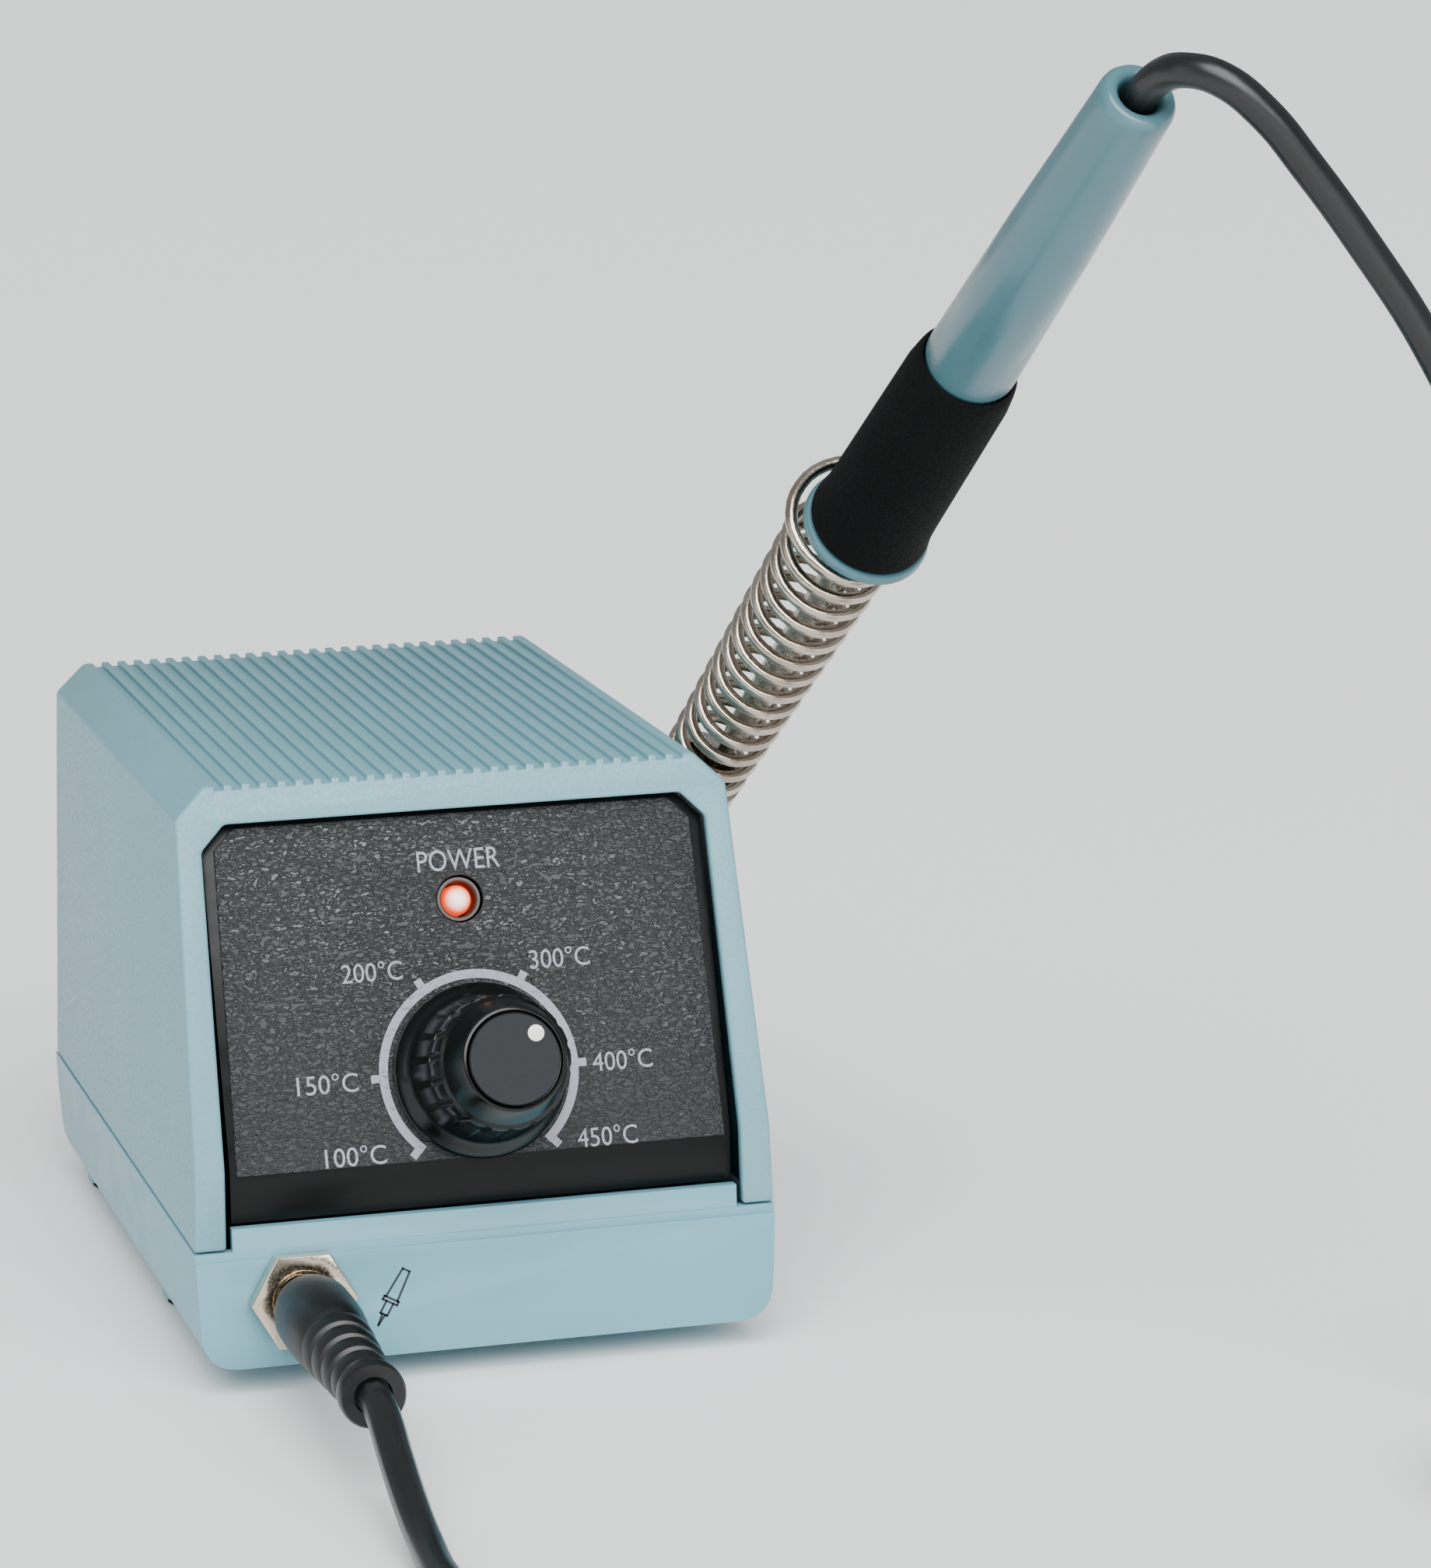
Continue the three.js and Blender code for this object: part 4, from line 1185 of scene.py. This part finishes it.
class STATION_OT_fittings(StationOperator):
    """Finishes the mains gland, and the parts inside that show through the slots."""
    bl_idname = "station.fittings"
    bl_label = "Gland and inner parts"

    def execute(self, context):
        low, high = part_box("mains_gland")
        centre = ((low[0] + high[0]) / 2, high[1], (low[2] + high[2]) / 2)
        seat = Matrix.Translation(centre) @ Matrix.Rotation(-math.pi / 2, 4, "X")
        profile = [(3.2, -20.9), (5.0, -20.9), (5.0, -12.7), (7.1, -12.7), (7.5, -12.3), (7.5, -9.9),
                   (7.1, -9.5), (5.6, -9.2)]
        for i in range(3):
            z = -9.2 + 2.7 * i
            profile += [(5.5 - 0.3 * i, z + 1.5), (4.2 - 0.2 * i, z + 1.7), (4.2 - 0.2 * i, z + 2.5)]
        profile += [(4.4, -0.9), (4.1, 0), (3.2, 0), (3.0, -0.4), (2.9, -3), (0.5, -3)]
        bush = soft_pvc("Moulded cable bush", "#1b1c1e", "#101112", 0.5)
        lathe("mains_bush", profile, seat, 48, 35, bush, "rubber", "station", "mains_gland")
        paint("circuit_board", satin_abs("Lacquered glass-epoxy board", "#2f6143", "#274f37", 0.3))
        paint("board_capacitor", satin_abs("Shrink-sleeved aluminium can", "#2c3f6c", "#233459", 0.3))
        paint("heat_sink", plated_metal("Bare extruded aluminium", "#c3c6c8", "#a3a7aa", 0.35, 0.5))
        paint("transformer_core", laminated_steel("Varnished laminations", "#6a6c6e", "#3c3e41"))
        paint("transformer_winding", matt_paint("Polyester winding tape", "#dccb92", "#c9b77c", 0.5))
        zinc = plated_metal("Zinc-plated control body", "#b6babd", "#94999d", 0.35, 0.5)
        paint("pot_body", zinc)
        paint("pot_nut", zinc)
        return {"FINISHED"}


class STATION_OT_declare(StationOperator):
    bl_idname = "station.declare"
    bl_label = "Declare the cord"

    def execute(self, context):
        cord = bpy.data.objects["iron_cord"]
        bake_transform(cord)
        return {"FINISHED"}


# ---- panel in the sidebar ---------------------------------------------------------------------

OPERATORS = (
    STATION_OT_stage, STATION_OT_cord, STATION_OT_housing, STATION_OT_panel, STATION_OT_lamp,
    STATION_OT_knob, STATION_OT_socket, STATION_OT_pictogram, STATION_OT_holder, STATION_OT_iron,
    STATION_OT_fittings, STATION_OT_declare,
)


class STATION_PT_pieces(bpy.types.Panel):
    """Lists the settings and the pieces."""
    bl_label = "Soldering station"
    bl_idname = "STATION_PT_pieces"
    bl_space_type = "VIEW_3D"
    bl_region_type = "UI"
    bl_category = "Station"

    def draw(self, context):
        layout = self.layout
        for settings in (context.scene.station_sizes, context.scene.station_colours):
            box = layout.box()
            for name in settings.__annotations__:
                box.prop(settings, name)
        for operator in OPERATORS:
            layout.operator(operator.bl_idname)


CLASSES = (StationSizes, StationColours, *OPERATORS, STATION_PT_pieces)


def register():
    for item in CLASSES:
        bpy.utils.register_class(item)
    bpy.types.Scene.station_sizes = PointerProperty(type=StationSizes)
    bpy.types.Scene.station_colours = PointerProperty(type=StationColours)


def unregister():
    del bpy.types.Scene.station_colours
    del bpy.types.Scene.station_sizes
    for item in reversed(CLASSES):
        bpy.utils.unregister_class(item)


def main():
    register()
    bpy.ops.station.stage()
    bpy.ops.station.cord()
    bpy.ops.station.housing()
    bpy.ops.station.panel()
    bpy.ops.station.lamp()
    bpy.ops.station.knob()
    bpy.ops.station.socket()
    bpy.ops.station.pictogram()
    bpy.ops.station.holder()
    bpy.ops.station.iron()
    bpy.ops.station.fittings()
    bpy.ops.station.declare()


if __name__ == "__main__":
    main()
